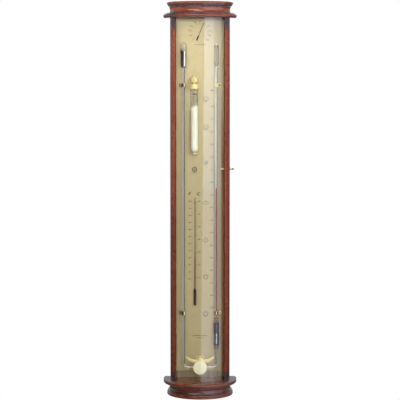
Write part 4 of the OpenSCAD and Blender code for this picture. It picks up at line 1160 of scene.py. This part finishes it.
def cloud_sign(x, z, r):
    """A cloud: three arcs over a flat foot."""
    return [
        arc(x - 0.55 * r, z, 0.45 * r, 60, 270, SIGN_LINE),
        arc(x, z + 0.25 * r, 0.6 * r, 10, 150, SIGN_LINE),
        arc(x + 0.6 * r, z, 0.45 * r, -90, 100, SIGN_LINE),
        bars(x, z - 0.45 * r, 0.0, 1.2 * r, SIGN_LINE),
    ]


def drops_sign(x, z, r, count):
    """Slanting rain under a cloud."""
    place = x + np.linspace(-0.6, 0.6, count) * r
    return [bars(place, z - 0.95 * r, math.radians(65), 0.55 * r, SIGN_LINE)]


def bolt_sign(x, z, r):
    """A zigzag stroke under a cloud."""
    path_x = x + r * np.array([0.15, -0.15, 0.15, -0.15])
    path_z = z - r * np.array([0.55, 0.95, 0.95, 1.45])
    return [ribbon(path_x, path_z, SIGN_LINE)]


def wind_sign(x, z, r):
    """Three lines that curl at one end."""
    marks = []
    for rise, reach in ((0.5, 0.8), (0.0, 1.0), (-0.5, 0.6)):
        level = z + rise * r
        marks.append(bars(x - 0.2 * r, level, 0.0, 1.6 * reach * r, SIGN_LINE))
        marks.append(arc(x - 0.2 * r + 0.8 * reach * r, level + 0.22 * r, 0.22 * r, -90, 150, SIGN_LINE))
    return marks


def sun_sign(x, z, r, rays):
    """A ring with rays round it."""
    turn = full_turn(rays)
    reach = 1.05 * r
    return [
        arc(x, z, 0.70 * r, 0, 360, SIGN_LINE, steps=40),
        bars(x + reach * np.cos(turn), z + reach * np.sin(turn), turn, 0.30 * r, SIGN_LINE),
    ]


def weather_signs():
    """Seven signs down the plate, each drawn about its own centre."""
    x = SIGN_X
    z = [CASE_TOP - drop * MM for drop in SIGN_DROPS]
    r = SIGN_R
    return join([
        *cloud_sign(x, z[0], r), *bolt_sign(x, z[0], r), *drops_sign(x, z[0], r, 2),
        *cloud_sign(x, z[1], r), *drops_sign(x, z[1], r, 4),
        *wind_sign(x, z[2], r),
        *cloud_sign(x, z[3], r),
        *sun_sign(x, z[4], r, 4),
        *sun_sign(x, z[5], r, 8),
        *sun_sign(x, z[6], r, 12),
    ])


# Small ornaments in the places between the scales

STAR_X = -15.4 * MM
STAR_Z = CASE_TOP - 422 * MM
STAR_R = 6.0 * MM
STAR_RING = 2.4 * MM
STAR_RAY = 0.9 * MM
DASH_STEP = 2.6 * MM
# Rows of dashes: drop, length and height in mm
STAR_DASHES = (3.6, 21, 1.2)
PLATE_DASHES = ((74, 31, 1.3), (892, 42, 1.7), (898, 18, 1.2))


def dashes(x, z, drop, length, height):
    """A row of short printed dashes of even step, centred on x. Its drop below z and its sizes are in mm."""
    count = round(length * MM / DASH_STEP)
    place = x + (np.arange(count) - (count - 1) / 2) * DASH_STEP
    return bars(place, z - drop * MM, 0.0, 0.7 * DASH_STEP, height * MM)


def ornaments():
    """A ringed eight-ray star, and rows of dashes under it, under the dial and near the foot."""
    turn = full_turn(8)
    reach = np.where(np.arange(8) % 2 == 0, 1.0, 0.6) * STAR_R * 0.6
    return join([
        arc(STAR_X, STAR_Z, STAR_R, 0, 360, STAR_RING, steps=48),
        bars(STAR_X + reach / 2 * np.cos(turn), STAR_Z + reach / 2 * np.sin(turn), turn, reach, STAR_RAY),
        dashes(STAR_X, STAR_Z - STAR_R, *STAR_DASHES),
        *(dashes(0, CASE_TOP, *row) for row in PLATE_DASHES),
    ])


prints = {
    "dial_print": dial_print(), "pressure_print": pressure_print(), "thermometer_print": thermometer_print(),
    "weather_signs": weather_signs(), "plate_ornaments": ornaments(),
}
for name, part in prints.items():
    make_piece(name, part, ink)


# Camera at the photograph's viewing angle

FRAME_PX = 400
FOCAL_PX = 1643
SENSOR = 36.0
CAMERA_DISTANCE = 4.6
CAMERA_Z = -0.083
CAMERA_DIP = math.radians(4.537)

lens = bpy.data.cameras.new("camera")
lens.sensor_width = SENSOR
lens.lens = FOCAL_PX / FRAME_PX * SENSOR
camera = bpy.data.objects.new("camera", lens)
camera.location = (0, BOW_AXIS_Y - CAMERA_DISTANCE, CAMERA_Z)
camera.rotation_euler = (math.pi / 2 - CAMERA_DIP, 0, 0)
scene.collection.objects.link(camera)
scene.camera = camera


# Studio: soft lamps, a pale floor far below the hanging case and a white surround

WHITE = (1, 1, 1)
COOL = (0.94, 0.98, 1.14)
WARM = (1.05, 1.0, 0.90)


def softbox(
    name, azimuth, distance, height, width, tall, radiance, aim_z, mirrored=True, tint=WHITE, lighting=True,
):
    """A rectangular lamp. Azimuth 0 is the camera's side and grows to the viewer's right.
    A lamp that isn't mirrored lights the object but shows in no reflection, and one that isn't lighting
    shows in reflections only."""
    turn = math.radians(azimuth)
    lamp = bpy.data.lights.new(name, "AREA")
    lamp.shape = "RECTANGLE"
    lamp.size = width
    lamp.size_y = tall
    lamp.energy = radiance * math.pi * width * tall
    lamp.color = tint
    place = Vector((distance * math.sin(turn), BOW_AXIS_Y - distance * math.cos(turn), height))
    aim = Vector((0, BOW_AXIS_Y, aim_z)) - place
    holder = bpy.data.objects.new(name, lamp)
    holder.location = place
    holder.rotation_euler = aim.to_track_quat("-Z", "Y").to_euler()
    holder.visible_camera = False
    holder.visible_diffuse = lighting
    holder.visible_glossy = mirrored
    holder.visible_transmission = mirrored
    scene.collection.objects.link(holder)


softbox("key_lamp", -18, 0.62, 0.125, 0.16, 0.05, 46.0, 0.10, mirrored=False, tint=COOL)
softbox("front_lamp", 6, 0.8, 0.10, 0.40, 0.12, 13.5, 0.0, mirrored=False, tint=COOL)
softbox("side_lamp", 30, 1.0, 0.05, 0.30, 0.30, 13.2, -0.05, mirrored=False)
softbox("left_upper_panel", -92, 0.7, -0.10, 0.30, 0.40, 14.0, -0.10, mirrored=False)
softbox("left_lower_panel", -92, 0.7, -0.60, 0.30, 0.40, 2.0, -0.60, mirrored=False)
softbox("right_panel", 92, 0.7, 0.0, 0.30, 0.40, 4.0, 0.0, mirrored=False)
softbox("low_lamp", 2, 0.8, -0.88, 0.30, 0.10, 11.0, -0.92, mirrored=False, tint=WARM)
softbox("cornice_strip", -22, 1.6, 0.26, 1.4, 0.20, 7.0, 0.08, lighting=False)
softbox("overhead_strip", -5, 2.0, 1.2, 1.4, 0.20, 13.0, -0.3)
softbox("back_fill", 180, 2.5, 0.6, 2.0, 1.5, 0.6, -0.45)

SCREEN_R = 1.5
SCREEN_TOP = 0.13
SCREEN_FOOT = -1.30
SCREEN_EDGE_TOP = math.radians(18.4)
SCREEN_EDGE_FOOT = math.radians(1.6)
SCREEN_END = math.radians(94)
SCREEN_ROWS = 9
SCREEN_COLUMNS = 33
SCREEN_UPPER = paint(0.80, 0.95, 1.24)
SCREEN_LOWER = paint(0.94, 1.00, 1.12)
SCREEN_CHANGE = (-0.60, -0.50)
SCREEN_LEVELS = (1.43, 2.1)
SCREEN_FADE = (math.radians(50), math.radians(66))
SCREEN_DIM = 0.5


def stage_mesh(name, points, faces, material):
    """A mesh object of the studio, at the origin."""
    mesh = bpy.data.meshes.new(name)
    mesh.from_pydata(points.reshape(-1, 3).tolist(), [], faces.tolist())
    mesh.materials.append(material)
    made = bpy.data.objects.new(name, mesh)
    scene.collection.objects.link(made)
    return made


def lit_screen():
    """A curved screen of light on the viewer's right, which the bow glass mirrors. At height share t the
    azimuth a runs from a leaning left edge to the end, and a point is the bow's axis + R (sin a, -cos a)."""
    material, tree, output = blank_material("lit_screen")
    place = node(tree, "SeparateXYZ", Vector=node(tree, "TexCoord").outputs["Object"])
    turn = maths(tree, "ARCTAN2", place.outputs["X"], maths(tree, "SUBTRACT", BOW_AXIS_Y, place.outputs["Y"]))
    upper = span(tree, place.outputs["Z"], *SCREEN_CHANGE)
    level = span(tree, place.outputs["Z"], *SCREEN_CHANGE, *SCREEN_LEVELS)
    fade = span(tree, turn, *SCREEN_FADE, 1.0, SCREEN_DIM)
    colour = blend(tree, upper, SCREEN_LOWER, SCREEN_UPPER)
    glow = node(tree, "Emission", Color=colour, Strength=maths(tree, "MULTIPLY", level, fade))
    tree.links.new(glow.outputs["Emission"], output.inputs["Surface"])
    t = np.linspace(0, 1, SCREEN_ROWS)[:, None]
    s = np.linspace(0, 1, SCREEN_COLUMNS)[None, :]
    edge = SCREEN_EDGE_FOOT + t * (SCREEN_EDGE_TOP - SCREEN_EDGE_FOOT)
    azimuth = edge + s * (SCREEN_END - edge)
    height = SCREEN_FOOT + t * (SCREEN_TOP - SCREEN_FOOT) + 0 * s
    points = np.stack([SCREEN_R * np.sin(azimuth), BOW_AXIS_Y - SCREEN_R * np.cos(azimuth), height], axis=-1)
    number = np.arange(SCREEN_ROWS * SCREEN_COLUMNS).reshape(SCREEN_ROWS, SCREEN_COLUMNS)
    corners = [number[:-1, :-1], number[:-1, 1:], number[1:, 1:], number[1:, :-1]]
    screen = stage_mesh("lit_screen", points, np.stack(corners, axis=-1).reshape(-1, 4), material)
    screen.visible_camera = False
    screen.visible_shadow = False


AMBIENT = 0.15
ROOM_GLOSS = 0.10
WALL_LOW = 0.07
WALL_HIGH = 0.35
WALL_CHANGE = (-0.20, 0.04)
WALL_SIDE = (-0.1, 0.4)


def studio_world():
    """White where the camera looks. Reflections see a dim room on the camera's side and, behind the
    object, a wall that is dark low down and brighter above."""
    world = bpy.data.worlds.new("studio")
    world.use_nodes = True
    scene.world = world
    tree = world.node_tree
    tree.nodes.clear()
    path = node(tree, "LightPath")
    place = node(tree, "SeparateXYZ", Vector=node(tree, "TexCoord").outputs["Generated"])
    wall = span(tree, place.outputs["Z"], *WALL_CHANGE, WALL_LOW, WALL_HIGH)
    behind = span(tree, place.outputs["Y"], *WALL_SIDE)
    gloss = feed(tree, node(tree, "Mix"), behind, None, ROOM_GLOSS, wall)
    dim = feed(tree, node(tree, "Mix"), path.outputs["Is Glossy Ray"], None, AMBIENT, gloss)
    through = maths(tree, "MULTIPLY", path.outputs["Is Transmission Ray"], behind)
    seen = maths(tree, "MAXIMUM", path.outputs["Is Camera Ray"], through)
    strength = feed(tree, node(tree, "Mix"), seen, None, dim, 1.0)
    sky = node(tree, "Background", Color=paint(1, 1, 1), Strength=strength)
    end = node(tree, "OutputWorld")
    tree.links.new(sky.outputs["Background"], end.inputs["Surface"])


FLOOR_Z = low("base_foot").z - 0.90
FLOOR_R = 2.4
FLOOR_GLOW = 0.6


def studio_floor():
    """A pale disc under the hanging case, which takes the object's shadow and looks paler to the camera."""
    material, tree, output = blank_material("studio_floor")
    cloud = use_group(tree, CLOUD, stretched(tree, (3, 3, 3)), "Cloud")
    tone = ramp(tree, cloud, (0.3, paint(0.60, 0.60, 0.60)), (0.7, paint(0.64, 0.64, 0.64)))
    paper = node(tree, "BsdfDiffuse", Color=tone)
    glow = node(tree, "Emission", Color=paint(1, 1, 1), Strength=1.0)
    path = node(tree, "LightPath")
    mix_shaders(tree, output, maths(tree, "MULTIPLY", path.outputs["Is Camera Ray"], FLOOR_GLOW), paper, glow)
    points, faces = lathe([(0, FLOOR_Z), (FLOOR_R, FLOOR_Z)], 0, 0, steps=96)
    floor = stage_mesh("floor", points, faces, material)


lit_screen()
studio_world()
studio_floor()
scene.view_settings.view_transform = "Standard"
